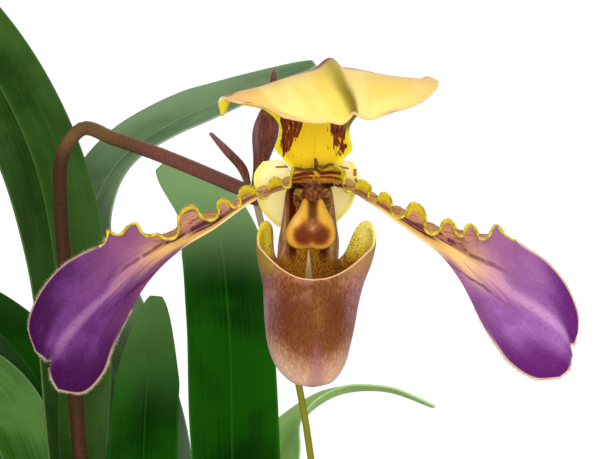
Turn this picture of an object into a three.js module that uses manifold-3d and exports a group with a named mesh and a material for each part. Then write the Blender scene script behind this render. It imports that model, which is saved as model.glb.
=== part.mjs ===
// A potted slipper orchid with one open flower, in millimetres, +Z up.
// The origin is the middle of the pot's base. The flower faces -Y.
import * as THREE from "three";
import { mergeVertices } from "three/addons/utils/BufferGeometryUtils.js";
import Module from "manifold-3d";

const wasm = await Module();
wasm.setup();

// Driving dimensions
const GAP = 0.3;
const POT = {
  height: 118,
  baseRadius: 46,
  neckRadius: 58,
  rimRadius: 65,
  rimHeight: 24,
  wall: 5,
  floor: 7,
  sides: 36,
  drainRadius: 5,
  drainRing: 26,
  drains: 4,
};
const MIX_TOP = 104;
const MIX_CROWN = 3;
const HOLE_FLOOR = 92;
const CHIP_COUNT = 28;
const CHIP_SEED = 7;
const FLOWER = new THREE.Vector3(22, -85, 322);
const NODE = new THREE.Vector3(7, -52, 319);
const NODE_RADIUS = 3.1;
const RECEPTACLE_RADIUS = 3.4;
const STALK_RADIUS = 1.9;
const STAKE_RADIUS = 0.9;
const BLADE = 1.1;
const PETAL = 0.8;
const PETAL_ROWS = 52;
const WAVE_END = 0.62;
const WAVE_SHARE = 0.79;
const WAVE_ROUND = 2.2;
const DIP = { depth: 0.9, from: 0.08, full: 0.14, less: 0.55, to: 0.62 };
const SEPAL_SHEET = 0.9;
const BRACT_SHEET = 0.8;
const POUCH_SHEET = 1.1;
const GOLDEN_ANGLE = Math.PI * (3 - Math.sqrt(5));
const GROWTH_A = { centre: [-34, 8], fan: [1, -0.25], core: 3.6 };
const GROWTH_B = { centre: [4, 36], fan: [1, 0.15], core: 1.2 };

const CLAY = { color: 0xa8603c, roughness: 0.85, metalness: 0 };
const BARK = { color: 0x5a3a24, roughness: 0.95, metalness: 0 };
const LEAF_DARK = { color: 0x2f5a1e, roughness: 0.45, metalness: 0 };
const LEAF_LIGHT = { color: 0x5f8748, roughness: 0.45, metalness: 0 };
const STALK = { color: 0x5a3428, roughness: 0.7, metalness: 0 };
const BUD = { color: 0x6a3f38, roughness: 0.7, metalness: 0 };
const OVARY = { color: 0x6e5a30, roughness: 0.7, metalness: 0 };
const SEPAL = { color: 0xf0c860, roughness: 0.5, metalness: 0 };
const SYNSEPAL = { color: 0xf3e08c, roughness: 0.5, metalness: 0 };
const PURPLE = { color: 0x8b5092, roughness: 0.5, metalness: 0 };
const POUCH = { color: 0x9a5c46, roughness: 0.4, metalness: 0 };
const COLUMN = { color: 0x7a4a18, roughness: 0.7, metalness: 0 };
const SHIELD = { color: 0xe0a048, roughness: 0.4, metalness: 0 };
const CANE = { color: 0x8c8420, roughness: 0.6, metalness: 0 };

const part = new THREE.Group();

function place(name, geometry, finish) {
  const mesh = new THREE.Mesh(geometry, new THREE.MeshStandardMaterial(finish));
  mesh.name = name;
  part.add(mesh);
}

// Solids for cutting and joining
function solid(geometry) {
  const bare = geometry.clone();
  bare.deleteAttribute("normal");
  bare.deleteAttribute("uv");
  const merged = mergeVertices(bare, 1e-4);
  return new wasm.Manifold(
    new wasm.Mesh({
      numProp: 3,
      vertProperties: new Float32Array(merged.attributes.position.array),
      triVerts: new Uint32Array(merged.index.array),
    }),
  );
}

function geometryOf(body) {
  const mesh = body.getMesh();
  const geometry = new THREE.BufferGeometry();
  geometry.setAttribute("position", new THREE.BufferAttribute(mesh.vertProperties, 3));
  geometry.setIndex(new THREE.BufferAttribute(mesh.triVerts, 1));
  geometry.computeVertexNormals();
  return geometry;
}

function largest(body) {
  const pieces = body.decompose();
  return pieces.reduce((best, piece) => (piece.volume() > best.volume() ? piece : best));
}

function cut(body, ...tools) {
  return largest(tools.reduce((rest, tool) => rest.subtract(tool), body));
}

// A seeded draw between 0 and 1
const DRAW = { factor: 1664525, step: 1013904223, range: 2 ** 32 };

function seeded(seed) {
  let state = seed;
  return () => {
    state = (state * DRAW.factor + DRAW.step) % DRAW.range;
    return state / DRAW.range;
  };
}

const clamp = (value, low = 0, high = 1) => Math.min(high, Math.max(low, value));
const mix = (from, to, share) => from + (to - from) * share;
const smooth = (from, to, value) => {
  const share = clamp((value - from) / (to - from));
  return share * share * (3 - 2 * share);
};
const vector = (point) => new THREE.Vector3(...point);

// A thin closed sheet. pointAt(u, v) is its middle surface, and both faces share one set of diagonals.
function sheet(columns, rows, pointAt, thickness) {
  const grid = new THREE.PlaneGeometry(1, 1, columns, rows);
  const flat = grid.attributes.position;
  const count = flat.count;
  const step = 1e-3;
  const places = new Float32Array(count * 6);
  for (let i = 0; i < count; i += 1) {
    const u = flat.getX(i) + 0.5;
    const v = flat.getY(i) + 0.5;
    const across = pointAt(Math.min(1, u + step), v).sub(pointAt(Math.max(0, u - step), v));
    const along = pointAt(u, Math.min(1, v + step)).sub(pointAt(u, Math.max(0, v - step)));
    const lift = across.cross(along).setLength(thickness / 2);
    const middle = pointAt(u, v);
    middle.clone().add(lift).toArray(places, i * 3);
    middle.clone().sub(lift).toArray(places, (count + i) * 3);
  }
  const upper = Array.from(grid.index.array);
  const faces = [...upper];
  for (let i = 0; i < upper.length; i += 3) {
    faces.push(upper[i + 2] + count, upper[i + 1] + count, upper[i] + count);
  }
  const wide = columns + 1;
  const edge = [];
  for (let i = 0; i < columns; i += 1) edge.push(rows * wide + i);
  for (let i = rows; i > 0; i -= 1) edge.push(i * wide + columns);
  for (let i = columns; i > 0; i -= 1) edge.push(i);
  for (let i = 0; i < rows; i += 1) edge.push(i * wide);
  edge.forEach((here, i) => {
    const next = edge[(i + 1) % edge.length];
    faces.push(here + count, next + count, next, here + count, next, here);
  });
  const geometry = new THREE.BufferGeometry();
  geometry.setAttribute("position", new THREE.BufferAttribute(places, 3));
  geometry.setIndex(faces);
  geometry.computeVertexNormals();
  return geometry;
}

// A smooth surface through rows of points, each row running across the sheet
function net(rows, origin = new THREE.Vector3()) {
  const across = rows.map((row) => new THREE.CatmullRomCurve3(row.map(vector)));
  return (u, v) => {
    const along = new THREE.CatmullRomCurve3(across.map((curve) => curve.getPoint(u)));
    return along.getPoint(v).add(origin);
  };
}

// A round stem along a curve, with its radius given along its length
function stem(points, radiusAt, sides, steps) {
  const curve = new THREE.CatmullRomCurve3(points);
  const frames = curve.computeFrenetFrames(steps);
  const geometry = new THREE.CylinderGeometry(1, 1, 1, sides, steps);
  const corners = geometry.attributes.position;
  for (let i = 0; i < corners.count; i += 1) {
    const share = clamp(corners.getY(i) + 0.5);
    const station = Math.round(share * steps);
    const radius = radiusAt(share);
    const at = curve
      .getPointAt(share)
      .addScaledVector(frames.normals[station], corners.getZ(i) * radius)
      .addScaledVector(frames.binormals[station], corners.getX(i) * radius);
    corners.setXYZ(i, at.x, at.y, at.z);
  }
  geometry.computeVertexNormals();
  return geometry;
}

function ball(centre, radii, turn = [0, 0, 0], sides = 12, rings = 8) {
  const geometry = new THREE.SphereGeometry(1, sides, rings);
  geometry.scale(...radii);
  geometry.applyMatrix4(new THREE.Matrix4().makeRotationFromEuler(new THREE.Euler(...turn)));
  geometry.translate(centre.x, centre.y, centre.z);
  return geometry;
}

function upright(radius, low, high, x, y, sides) {
  const geometry = new THREE.CylinderGeometry(radius, radius, high - low, sides);
  geometry.rotateX(Math.PI / 2);
  geometry.translate(x, y, (low + high) / 2);
  return geometry;
}

const fromFlower = (x, y, z) => new THREE.Vector3(x, y, z).add(FLOWER);

// Pot
function potSolid() {
  const neck = POT.height - POT.rimHeight;
  const slope = (POT.neckRadius - POT.baseRadius) / neck;
  const innerTop = POT.rimRadius - POT.wall - 1;
  const profile = [
    [0, 0],
    [POT.baseRadius - 1.5, 0],
    [POT.baseRadius, 1.5],
    [POT.neckRadius, neck],
    [POT.rimRadius - 1.5, neck],
    [POT.rimRadius - 0.5, neck + 1.5],
    [POT.rimRadius, POT.height - 2],
    [POT.rimRadius - 2, POT.height],
    [innerTop + 1, POT.height],
    [innerTop, POT.height - 2],
    [POT.baseRadius - POT.wall + slope * POT.floor, POT.floor],
    [0, POT.floor],
  ].map(([radius, height]) => new THREE.Vector2(radius, height));
  const shell = new THREE.LatheGeometry(profile, POT.sides);
  shell.rotateX(Math.PI / 2);
  let body = solid(shell);
  for (let i = 0; i < POT.drains; i += 1) {
    const angle = ((i + 0.5) / POT.drains) * 2 * Math.PI;
    const x = POT.drainRing * Math.cos(angle);
    const y = POT.drainRing * Math.sin(angle);
    body = body.subtract(solid(upright(POT.drainRadius, -1, POT.floor + 1, x, y, 12)));
  }
  return body;
}

function innerRadiusAt(height) {
  const slope = (POT.neckRadius - POT.baseRadius) / (POT.height - POT.rimHeight);
  const low = POT.baseRadius - POT.wall + slope * POT.floor;
  const high = POT.rimRadius - POT.wall - 1;
  return mix(low, high, (height - POT.floor) / (POT.height - 2 - POT.floor));
}

// Potting mix with bark chips, and the plain holes that the plant stands in
function mixSolid(holes) {
  const reach = innerRadiusAt(MIX_TOP) - GAP;
  const bottom = POT.floor + GAP;
  const profile = [
    [0, bottom],
    [innerRadiusAt(bottom) - GAP, bottom],
    [reach, MIX_TOP],
    [reach * 0.6, MIX_TOP + MIX_CROWN * 0.7],
    [0, MIX_TOP + MIX_CROWN],
  ].map(([radius, height]) => new THREE.Vector2(radius, height));
  const lump = new THREE.LatheGeometry(profile, 28);
  lump.rotateX(Math.PI / 2);
  let body = solid(lump);
  const draw = seeded(CHIP_SEED);
  for (let i = 0; i < CHIP_COUNT; i += 1) {
    const away = (reach - 8) * Math.sqrt((i + 0.5) / CHIP_COUNT);
    const angle = i * GOLDEN_ANGLE;
    const chip = new THREE.BoxGeometry(mix(9, 17, draw()), mix(6, 10, draw()), mix(3, 5.5, draw()));
    chip.applyMatrix4(
      new THREE.Matrix4().makeRotationFromEuler(
        new THREE.Euler(mix(-0.45, 0.45, draw()), mix(-0.45, 0.45, draw()), draw() * Math.PI),
      ),
    );
    const rise = MIX_TOP + MIX_CROWN * (1 - away / reach) + mix(-0.4, 1.4, draw());
    chip.translate(away * Math.cos(angle), away * Math.sin(angle), rise);
    body = body.add(solid(chip));
  }
  const bore = new THREE.CylinderGeometry(
    innerRadiusAt(POT.height) - GAP,
    innerRadiusAt(0) - GAP,
    POT.height,
    28,
  );
  bore.rotateX(Math.PI / 2);
  bore.translate(0, 0, POT.height / 2);
  body = body.intersect(solid(bore));
  return cut(body, ...holes);
}

// Leaves. Each one stands in its fan as a folded sheath and opens into a strap above it.
// points run from the foot to the tip; face is the way the upper side looks at the tip.
const LEAVES = [
  {
    name: "leaf_a_front_left", growth: GROWTH_A, side: -1, order: 5, width: 17,
    face: [0.3, 0.1, 1], finish: LEAF_DARK,
    points: [[-66, 16, 148], [-92, 4, 188], [-122, -24, 200], [-154, -58, 180]],
  },
  {
    name: "leaf_a_front_right", growth: GROWTH_A, side: 1, order: 4, width: 16,
    face: [0.1, 0.4, 1], finish: LEAF_DARK,
    points: [[-6, 1, 148], [8, -34, 190], [8, -74, 203], [6, -116, 178]],
  },
  {
    name: "leaf_a_low_left", growth: GROWTH_A, side: -1, order: 3, width: 18,
    face: [0.1, -0.45, 1], finish: LEAF_LIGHT,
    points: [[-51, 12.5, 158], [-64, 34, 218], [-87, 53, 261], [-121, 60, 270], [-164, 62, 246]],
  },
  {
    name: "leaf_a_upright", growth: GROWTH_A, side: 1, order: 2, width: 11,
    face: [0, -1, 0.2], finish: LEAF_DARK,
    points: [[-27, 6.3, 158], [-28.5, 26, 215], [-28, 34, 258], [-25, 36, 290]],
  },
  {
    name: "leaf_a_tall_left", growth: GROWTH_A, side: -1, order: 1, width: 16,
    face: [0.62, -0.75, 0.3], finish: LEAF_DARK,
    points: [
      [-44, 10.5, 172], [-52, 18, 235], [-54.5, 25, 300], [-63, 30, 335],
      [-82, 32, 368], [-112, 34, 396], [-150, 36, 408],
    ],
  },
  {
    name: "leaf_b_front_right", growth: GROWTH_B, side: 1, order: 7, width: 17,
    face: [-0.1, 0.3, 1], finish: LEAF_DARK,
    points: [[38, 40, 146], [56, 18, 180], [82, -14, 194], [118, -42, 172]],
  },
  {
    name: "leaf_b_back_left", growth: GROWTH_B, side: -1, order: 6, width: 16,
    face: [0.2, -0.5, 1], finish: LEAF_DARK,
    points: [[-26, 31.5, 150], [-46, 64, 212], [-70, 82, 266], [-100, 90, 287], [-142, 94, 272]],
  },
  {
    name: "leaf_b_right", growth: GROWTH_B, side: 1, order: 5, width: 17,
    face: [-0.3, -0.1, 1], finish: LEAF_LIGHT,
    points: [[30, 40, 156], [52, 44, 206], [88, 44, 222], [132, 40, 196]],
  },
  {
    name: "leaf_b_tall_left", growth: GROWTH_B, side: -1, order: 4, width: 16,
    face: [-0.4, -0.5, 0.85], finish: LEAF_LIGHT,
    points: [
      [-10, 34, 160], [-23, 48, 215], [-41, 55, 270], [-48, 56, 302], [-44, 56, 321],
      [-36, 56, 333], [-22, 56, 342.5], [-6.5, 56, 349.5], [8, 56, 355.5], [23, 57, 361.5],
    ],
  },
  {
    name: "leaf_b_back_right", growth: GROWTH_B, side: 1, order: 3, width: 16,
    face: [-0.2, -0.3, 1], finish: LEAF_DARK,
    points: [[19, 38.4, 162], [32, 72, 205], [58, 98, 212], [100, 120, 186]],
  },
  {
    name: "leaf_b_upright", growth: GROWTH_B, side: -1, order: 2, width: 13.5,
    face: [0.1, -1, 0.1], finish: LEAF_DARK,
    points: [[-1.5, 35.2, 162], [-2, 28, 228], [-3, 25, 285], [-8, 25, 314], [-23, 25, 329]],
  },
  {
    name: "leaf_b_slim_back", growth: GROWTH_B, side: 1, order: 1, width: 10,
    face: [0, 0.1, 1], finish: LEAF_LIGHT,
    points: [[8.5, 36.8, 162], [8, 60, 212], [14, 80, 243], [28, 86, 256], [45, 88, 258], [62, 90, 252]],
  },
];

const SHEATH_STEP = 1.9;
const SHEATH_ARM = 13;
const SHEATH_LENGTH = 26;
const SHEATH_SHORTER = 7;
const FAN_SIZE = 7;
const OPENING = 62;
const KNEE_RISE = 14;
const TIP_SHARE = 0.13;
const ROOM_WIDER = 1.06;
const FOOT = HOLE_FLOOR + GAP;
const LEAF_ROWS = 16;
const LEAF_COLUMNS = 4;

function leafSurface(leaf, widen) {
  const { centre, fan, core } = leaf.growth;
  const outward = new THREE.Vector3(fan[0], fan[1], 0).normalize().multiplyScalar(leaf.side);
  const inward = outward.clone().negate();
  const beside = new THREE.Vector3(0, 0, 1).cross(inward);
  const offset = core + (leaf.order - 1) * SHEATH_STEP;
  const keel = new THREE.Vector3(centre[0], centre[1], FOOT).addScaledVector(outward, offset + 1.2);
  const knee = keel.clone().setZ(MIX_TOP + KNEE_RISE).addScaledVector(outward, 1.5);
  const points = [keel, knee, ...leaf.points.map(vector)];
  const curve = new THREE.CatmullRomCurve3(points, false, "centripetal");
  const length = curve.getLength();
  const openFrom = (SHEATH_LENGTH + SHEATH_SHORTER * (FAN_SIZE - leaf.order)) / length;
  const openTo = openFrom + OPENING / length;
  const arm = Math.min(SHEATH_ARM, 2 * offset + 2);
  const tipFace = vector(leaf.face).normalize();
  return (u, v) => {
    const at = curve.getPointAt(v);
    const heading = curve.getTangentAt(v);
    const open = smooth(openFrom, openTo, v);
    const facing = inward.clone().lerp(tipFace, smooth(openFrom, 0.75, v));
    const crosswise = heading.clone().cross(facing).normalize();
    if (crosswise.dot(beside) < 0 && v < openFrom) crosswise.negate();
    const upward = crosswise.clone().cross(heading).normalize();
    const span = (2 * u - 1) * widen;
    const away = Math.abs(span);
    const taper = Math.sqrt(clamp((1.004 - v) / TIP_SHARE)) * smooth(-0.25, 0.5, v);
    const half = Math.max(0.8, leaf.width * Math.min(1, taper) * mix(1, 0.86, smooth(0.6, 1, v)));
    const fold = mix(0.5, 0.14, smooth(openTo, 0.9, v));
    const sideways = mix(offset * Math.sin(Math.min(1, away / 0.34) * Math.PI * 0.5), half * away, open);
    const rise = mix(arm * away ** 1.3, half * fold * away ** 1.2, open);
    return at
      .addScaledVector(crosswise, Math.sign(span) * sideways)
      .addScaledVector(upward, rise);
  };
}

function leafSolid(leaf, thickness = BLADE, widen = 1) {
  return solid(sheet(LEAF_COLUMNS, LEAF_ROWS, leafSurface(leaf, widen), thickness));
}

// Flower stalk
const PEDUNCLE = [
  [-34, 8, FOOT], [-34.3, 8, 125], [-37, 8.2, 170], [-41, 7, 206], [-44.5, 5, 244], [-48, 5, 290],
  [-50.3, 5, 318], [-49.6, 4.5, 331], [-44, 2, 338.5], [-34, -9, 335.5], [-19, -25, 330], [-7, -37, 325],
  [1.5, -46.5, 321.3], NODE.toArray(),
].map(vector);
const STAKE = [
  [33, -17, FOOT], [33, -17, 108], [29, -26, 160], [25, -37, 215], [21.3, -45, 250], [18.4, -46.5, 268],
  [11.6, -47.6, 298], [6.2, -48.2, 315.2],
].map(vector);

function peduncleSolid(extra = 0) {
  const stalk = stem(PEDUNCLE, (share) => mix(2.3, STALK_RADIUS, share) + extra, 8, 40);
  const swelling = ball(NODE, [NODE_RADIUS + extra, NODE_RADIUS + extra, NODE_RADIUS * 0.9 + extra]);
  return solid(stalk).add(solid(swelling));
}

function ovarySolid(extra = 0) {
  const path = [NODE, fromFlower(-9.5, 21, -1.2), fromFlower(-3.6, 9.5, -0.3), fromFlower(0, 4.4, 0)];
  const body = stem(path, (share) => mix(1.7, 2.5, Math.sin(share * Math.PI * 0.8)) + extra, 10, 12);
  const wide = RECEPTACLE_RADIUS + extra;
  const receptacle = ball(fromFlower(0, 4.2, 0), [wide, 2.2 + extra, wide]);
  return solid(body).add(solid(receptacle));
}

function budSolid() {
  const path = [
    [7.3, -52, 319.5], [8.6, -52, 329], [10, -52, 337], [11.3, -52, 345], [11.9, -52, 351.5],
  ].map(vector);
  const swell = (share) => 0.8 + 2.3 * Math.exp(-(((share - 0.5) / 0.22) ** 2)) + 0.9 * (1 - share) ** 2;
  return solid(stem(path, swell, 9, 14));
}

function bractSolid() {
  const rows = [
    [[5.4, -53.6, 321.6], [4.4, -51.5, 322], [5.6, -49.6, 321.6]],
    [[4.6, -54.4, 326], [2.6, -51.8, 325.6], [4.6, -49.4, 326]],
    [[0.6, -54, 330.6], [-1.2, -52, 330], [0.6, -50, 330.6]],
    [[-4.6, -52.3, 335.2], [-5, -52, 335], [-4.6, -51.7, 335.2]],
  ];
  return solid(sheet(4, 8, net(rows), BRACT_SHEET));
}

// Upper sepal. Rows run from its foot to its tip, each from the left margin to the right one.
const DORSAL_ROWS = [
  [[-5.4, 1.6, 2.6], [-2.8, 0.9, 2.4], [0, 0.6, 2.2], [2.8, 0.9, 2.4], [5.4, 1.6, 2.6]],
  [[-7.8, 3.2, 5.6], [-3.8, 0.9, 5.6], [0, 0.2, 5.6], [3.7, 0.9, 5.6], [7.3, 3.2, 5.4]],
  [[-9.5, 4.6, 8], [-5.2, 0.9, 8.2], [0.1, 0, 8.4], [5.2, 0.9, 8.2], [9.3, 4.6, 7.7]],
  [[-8.7, 3.6, 10.4], [-5.2, 0.6, 10.8], [0.2, -0.3, 11.2], [5.2, 0.6, 10.8], [8.8, 3.6, 10.2]],
  [[-8.5, 2.2, 13.8], [-5.2, 0, 14.4], [0.3, -0.8, 15], [5.4, 0, 14.4], [8.7, 2.2, 13.2]],
  [[-11.6, 0, 17], [-6.2, -2.4, 18.8], [0.8, -3.6, 20.2], [7.2, -2.2, 19.4], [12.6, 0, 17.6]],
  [[-17.5, -8, 18.2], [-9.4, -8.6, 20.8], [2, -9.8, 25.2], [12, -8.4, 22.6], [21, -8, 20.4]],
  [[-22, -17.5, 19.4], [-12, -17, 21.6], [3.6, -18, 28], [15, -17, 24.4], [28.8, -18, 22.9]],
  [[-21.4, -21.6, 18.6], [-10.8, -24, 20.4], [5, -25.6, 25], [15.8, -24, 22.2], [28.8, -21.6, 21.4]],
  [[-18.6, -24.6, 17.6], [-8.4, -28, 17.4], [6.4, -30.4, 20.6], [15.8, -28.4, 18.8], [26, -25.4, 18.2]],
  [[-13.4, -27, 16.9], [-4, -30.6, 14], [7.9, -33.4, 17.2], [14.6, -31.2, 15.4], [20.6, -28.4, 16.4]],
  [[-7, -30.5, 13.5], [2, -33.6, 11.9], [8.6, -35.6, 13.6], [12.2, -33.8, 13.2], [15.6, -31.6, 15.3]],
];

const SYNSEPAL_ROWS = [
  [[-12.6, 6, 4.8], [-7.6, 6.8, 4.8], [-1.4, 7.6, -4], [5.8, 6.8, 4.8], [9.7, 6, 4.7]],
  [[-14.7, 5.6, 1.6], [-9.4, 7.6, 0.6], [-1.6, 9, -5.4], [6.2, 7.6, 0.8], [10.9, 5.6, 1.6]],
  [[-14.4, 6, -2.6], [-8.6, 8.8, -3.4], [-1.8, 10.4, -7.6], [5.4, 8.8, -3.2], [10.4, 6, -2.6]],
  [[-13, 7, -7], [-7.6, 9.8, -8], [-1.8, 11.4, -10.4], [4.4, 9.8, -7.8], [8.8, 7, -6.6]],
  [[-9, 9, -11.2], [-5.6, 11, -12.4], [-1.8, 12, -13.6], [2, 11, -12.2], [5.4, 9, -10.4]],
];

// Petals. Rows run from the foot to the tip, each from the lower margin to the upper one.
const PETAL_LEFT_ROWS = [
  [[-0.4, -3.8, -0.9], [-0.4, -2.4, 0.8], [-0.4, -0.2, 2.5]],
  [[-6.4, -2.6, -2], [-6.2, -1.4, -0.8], [-6, 0.4, 1]],
  [[-13.9, -2.5, -4.6], [-13.8, 0.4, -3.6], [-13.6, 3.4, -2]],
  [[-24.4, -3.5, -11.9], [-24.4, -0.4, -10.5], [-24.6, 3, -7.9]],
  [[-30.5, -4.5, -15.6], [-30.9, -1.4, -13.6], [-31.4, 2, -10]],
  [[-35.9, -6, -20], [-37, -2.6, -16.8], [-37.6, 1, -13.4]],
  [[-39.8, -7, -24.4], [-42.6, -3.8, -20.8], [-43.9, -1, -13.4]],
  [[-43.4, -8, -30.2], [-48.2, -5.2, -26.4], [-49.6, -3, -15.4]],
  [[-45.9, -9, -35.1], [-52.8, -6.5, -30.6], [-55.4, -5, -17.6]],
  [[-48.3, -9.5, -40.7], [-56.5, -7.4, -34.3], [-61.2, -6.5, -21.4]],
  [[-50.4, -9.8, -46.8], [-60, -8, -38.4], [-66.6, -8, -28]],
  [[-55, -9.8, -51.6], [-62.6, -8.2, -42], [-69.6, -8.4, -35]],
  [[-62, -9.2, -51.4], [-64.6, -8.3, -44.8], [-68.2, -8.4, -41.5]],
];
const PETAL_RIGHT_ROWS = [
  [[0.4, -3.8, -0.9], [0.4, -2.4, 0.8], [0.5, 0, 5.1]],
  [[7.2, -2.6, -1.9], [7.2, -1.4, -0.9], [7.2, 0.4, 1]],
  [[13.3, -2.5, -5.3], [13.3, 0.4, -4.3], [13.2, 3.4, -2.2]],
  [[24.6, -3.5, -13.4], [24.8, -0.4, -11.7], [25, 3, -8.4]],
  [[29.4, -4.5, -16.9], [30.4, -1.4, -14.8], [31.6, 2, -11.4]],
  [[32.5, -6, -20.3], [35.5, -2.6, -17.8], [37, 1, -13]],
  [[35.4, -7, -24.6], [40.6, -3.8, -21.8], [42.6, -1, -13.6]],
  [[38, -8, -29.8], [45.2, -5.2, -26], [47.6, -3, -14.4]],
  [[40.7, -9, -35.1], [49, -6.5, -29.8], [51.4, -5, -16.6]],
  [[43.2, -9.5, -39.2], [52.6, -7.4, -32.8], [56.2, -6.5, -20]],
  [[46.8, -9.8, -44], [56.2, -8, -36.2], [60.6, -8, -25.6]],
  [[52.6, -9.8, -47.6], [59.4, -8.2, -39.4], [63.2, -8.4, -32.4]],
  [[59, -9.2, -47.6], [61.4, -8.3, -41.6], [63, -8.4, -37.8]],
];
// Crests of the waved margin: place along the petal, height and half width
const CRESTS_LEFT = [
  [0.125, 2.1, 0.045], [0.185, 2, 0.04], [0.222, 2.4, 0.03], [0.262, 2.4, 0.034], [0.328, 3.1, 0.048],
  [0.5, 2.5, 0.05], [0.578, 2.4, 0.03],
];
const CRESTS_RIGHT = [
  [0.145, 2.1, 0.045], [0.19, 1.7, 0.036], [0.228, 2.1, 0.03], [0.268, 2.6, 0.04], [0.345, 3, 0.05],
  [0.435, 2.4, 0.045], [0.535, 2.6, 0.045],
];

function petalSurface(rows, crests) {
  const base = net(rows, FLOWER);
  const raise = new THREE.Vector3(0, -0.45, 1);
  return (u, row) => {
    const v = row < WAVE_SHARE
      ? WAVE_END * (row / WAVE_SHARE)
      : mix(WAVE_END, 1, (row - WAVE_SHARE) / (1 - WAVE_SHARE));
    const wave = crests.reduce((sum, [middle, height, half]) => {
      const away = Math.abs(v - middle) / half;
      return away < 1 ? sum + height * (1 - away ** WAVE_ROUND) : sum;
    }, 0);
    const dip = -DIP.depth * smooth(DIP.from, DIP.full, v) * (1 - smooth(DIP.less, DIP.to, v));
    return base(u, v).addScaledVector(raise, (wave + dip) * smooth(0.42, 1, u));
  };
}

function petalSolid(rows, crests, thickness = PETAL) {
  return solid(sheet(4, PETAL_ROWS, petalSurface(rows, crests), thickness));
}

// Pouch. Its rim is given by its height at angles round the mouth, from the front to the back.
const RIM = [
  [0, -23.9], [14, -23.4], [30, -21.8], [46, -19.4], [60, -17.4], [74, -15.8], [88, -13], [98, -10.8],
  [106, -9.9], [114, -10.6], [124, -14], [134, -18.4], [146, -19], [150, -14], [154, -5.4], [158, -2.2],
  [166, -1.7], [180, -1.6],
];
const POUCH_WALLS = [
  { height: -1, half: 12.4, centre: 0.6, front: -14, back: 3.2 },
  { height: -10, half: 13.6, centre: 0.6, front: -14.5, back: 5 },
  { height: -15, half: 14.5, centre: 0.5, front: -14.6, back: 5.6 },
  { height: -20, half: 13.8, centre: 0.2, front: -14.4, back: 6.2 },
  { height: -25, half: 12.3, centre: -0.2, front: -14, back: 6.4 },
  { height: -30, half: 11.5, centre: -0.7, front: -14, back: 6.2 },
  { height: -35, half: 10.9, centre: -1, front: -14, back: 5.4 },
  { height: -40, half: 10, centre: -1.2, front: -13.4, back: 3.8 },
  { height: -44.5, half: 8.5, centre: -1, front: -12.2, back: 1.4 },
  { height: -47.5, half: 6.4, centre: -0.7, front: -10.6, back: -0.8 },
  { height: -49.3, half: 4, centre: -0.5, front: -8.8, back: -2.8 },
  { height: -50.1, half: 0.2, centre: -0.5, front: -6, back: -5.6 },
];
const TOE = -50.1;
const POUCH_SQUARE = 0.86;
// The rolled-in edges beside the claw, by the angle round the mouth
const TUCK = { depth: 3.2, from: 1.7, full: 2.2, less: 2.5, to: 2.75, low: 0.62 };
// The claw at the back leans to one side, by the same angle and by height
const CLAW = { shift: 1.8, from: 1.8, full: 2.5, low: -32, high: -20 };

function along(list, key, value, wanted) {
  const last = list.length - 1;
  const rising = list[last][key] > list[0][key];
  let i = 0;
  while (i < last - 1 && (rising ? list[i + 1][key] < value : list[i + 1][key] > value)) i += 1;
  const share = clamp((value - list[i][key]) / (list[i + 1][key] - list[i][key]));
  return mix(list[i][wanted], list[i + 1][wanted], share);
}

function pouchPoint(angle, share, inset) {
  const turn = Math.abs(angle);
  const rim = along(RIM, 0, (turn * 180) / Math.PI, 1);
  const height = mix(TOE + inset, rim, Math.sin(share * Math.PI * 0.5) ** 1.5);
  const wall = (name) => along(POUCH_WALLS, "height", height, name);
  const half = share === 0 ? 0 : Math.max(0.15, wall("half") - inset);
  const pole = (wall("front") + wall("back")) / 2;
  const front = share === 0 ? pole : wall("front") + inset;
  const back = share === 0 ? pole : Math.max(front + 0.3, wall("back") - inset);
  const across = Math.sign(Math.sin(angle)) * Math.abs(Math.sin(angle)) ** POUCH_SQUARE;
  const depth = -Math.sign(Math.cos(angle)) * Math.abs(Math.cos(angle)) ** POUCH_SQUARE;
  const rolled = smooth(TUCK.from, TUCK.full, turn) * (1 - smooth(TUCK.less, TUCK.to, turn));
  const tuck = TUCK.depth * rolled * smooth(TUCK.low, 1, share);
  const shift = CLAW.shift * smooth(CLAW.from, CLAW.full, turn) * smooth(CLAW.low, CLAW.high, height);
  return fromFlower(
    wall("centre") - shift + across * (half - tuck),
    mix(front, back, 0.5 + depth / 2),
    height,
  );
}

function pouchSolid(wall = POUCH_SHEET) {
  const around = 34;
  const rings = 10;
  const grid = new THREE.SphereGeometry(1, around, rings, 0, Math.PI * 2, 0, Math.PI / 2);
  const faces = Array.from(grid.index.array);
  const count = grid.attributes.position.count;
  const places = new Float32Array(count * 6);
  const wide = around + 1;
  for (let i = 0; i < count; i += 1) {
    const angle = ((i % wide) / around) * 2 * Math.PI - Math.PI;
    const share = Math.floor(i / wide) / rings;
    pouchPoint(angle, share, 0).toArray(places, i * 3);
    pouchPoint(angle, share, wall).toArray(places, (count + i) * 3);
  }
  const shell = [];
  for (let i = 0; i < faces.length; i += 3) {
    shell.push(faces[i + 2], faces[i + 1], faces[i]);
    shell.push(faces[i] + count, faces[i + 1] + count, faces[i + 2] + count);
  }
  for (let i = 0; i < around; i += 1) {
    const here = rings * wide + i;
    shell.push(here, here + 1, here + count, here + 1, here + 1 + count, here + count);
  }
  const geometry = new THREE.BufferGeometry();
  geometry.setAttribute("position", new THREE.BufferAttribute(places, 3));
  geometry.setIndex(shell);
  return solid(geometry);
}

// Column and its shield
function columnSolid(extra = 0) {
  const grown = (radii) => radii.map((radius) => radius + extra);
  const body = ball(fromFlower(-0.2, -2.2, -2.8), grown([4.6, 3.8, 2.4]), [0.4, 0, 0], 14, 8);
  const neck = ball(fromFlower(-0.4, -4.8, -4.8), grown([3, 2.5, 3.2]), [0.5, 0, 0], 12, 7);
  return solid(body).add(solid(neck));
}

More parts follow.
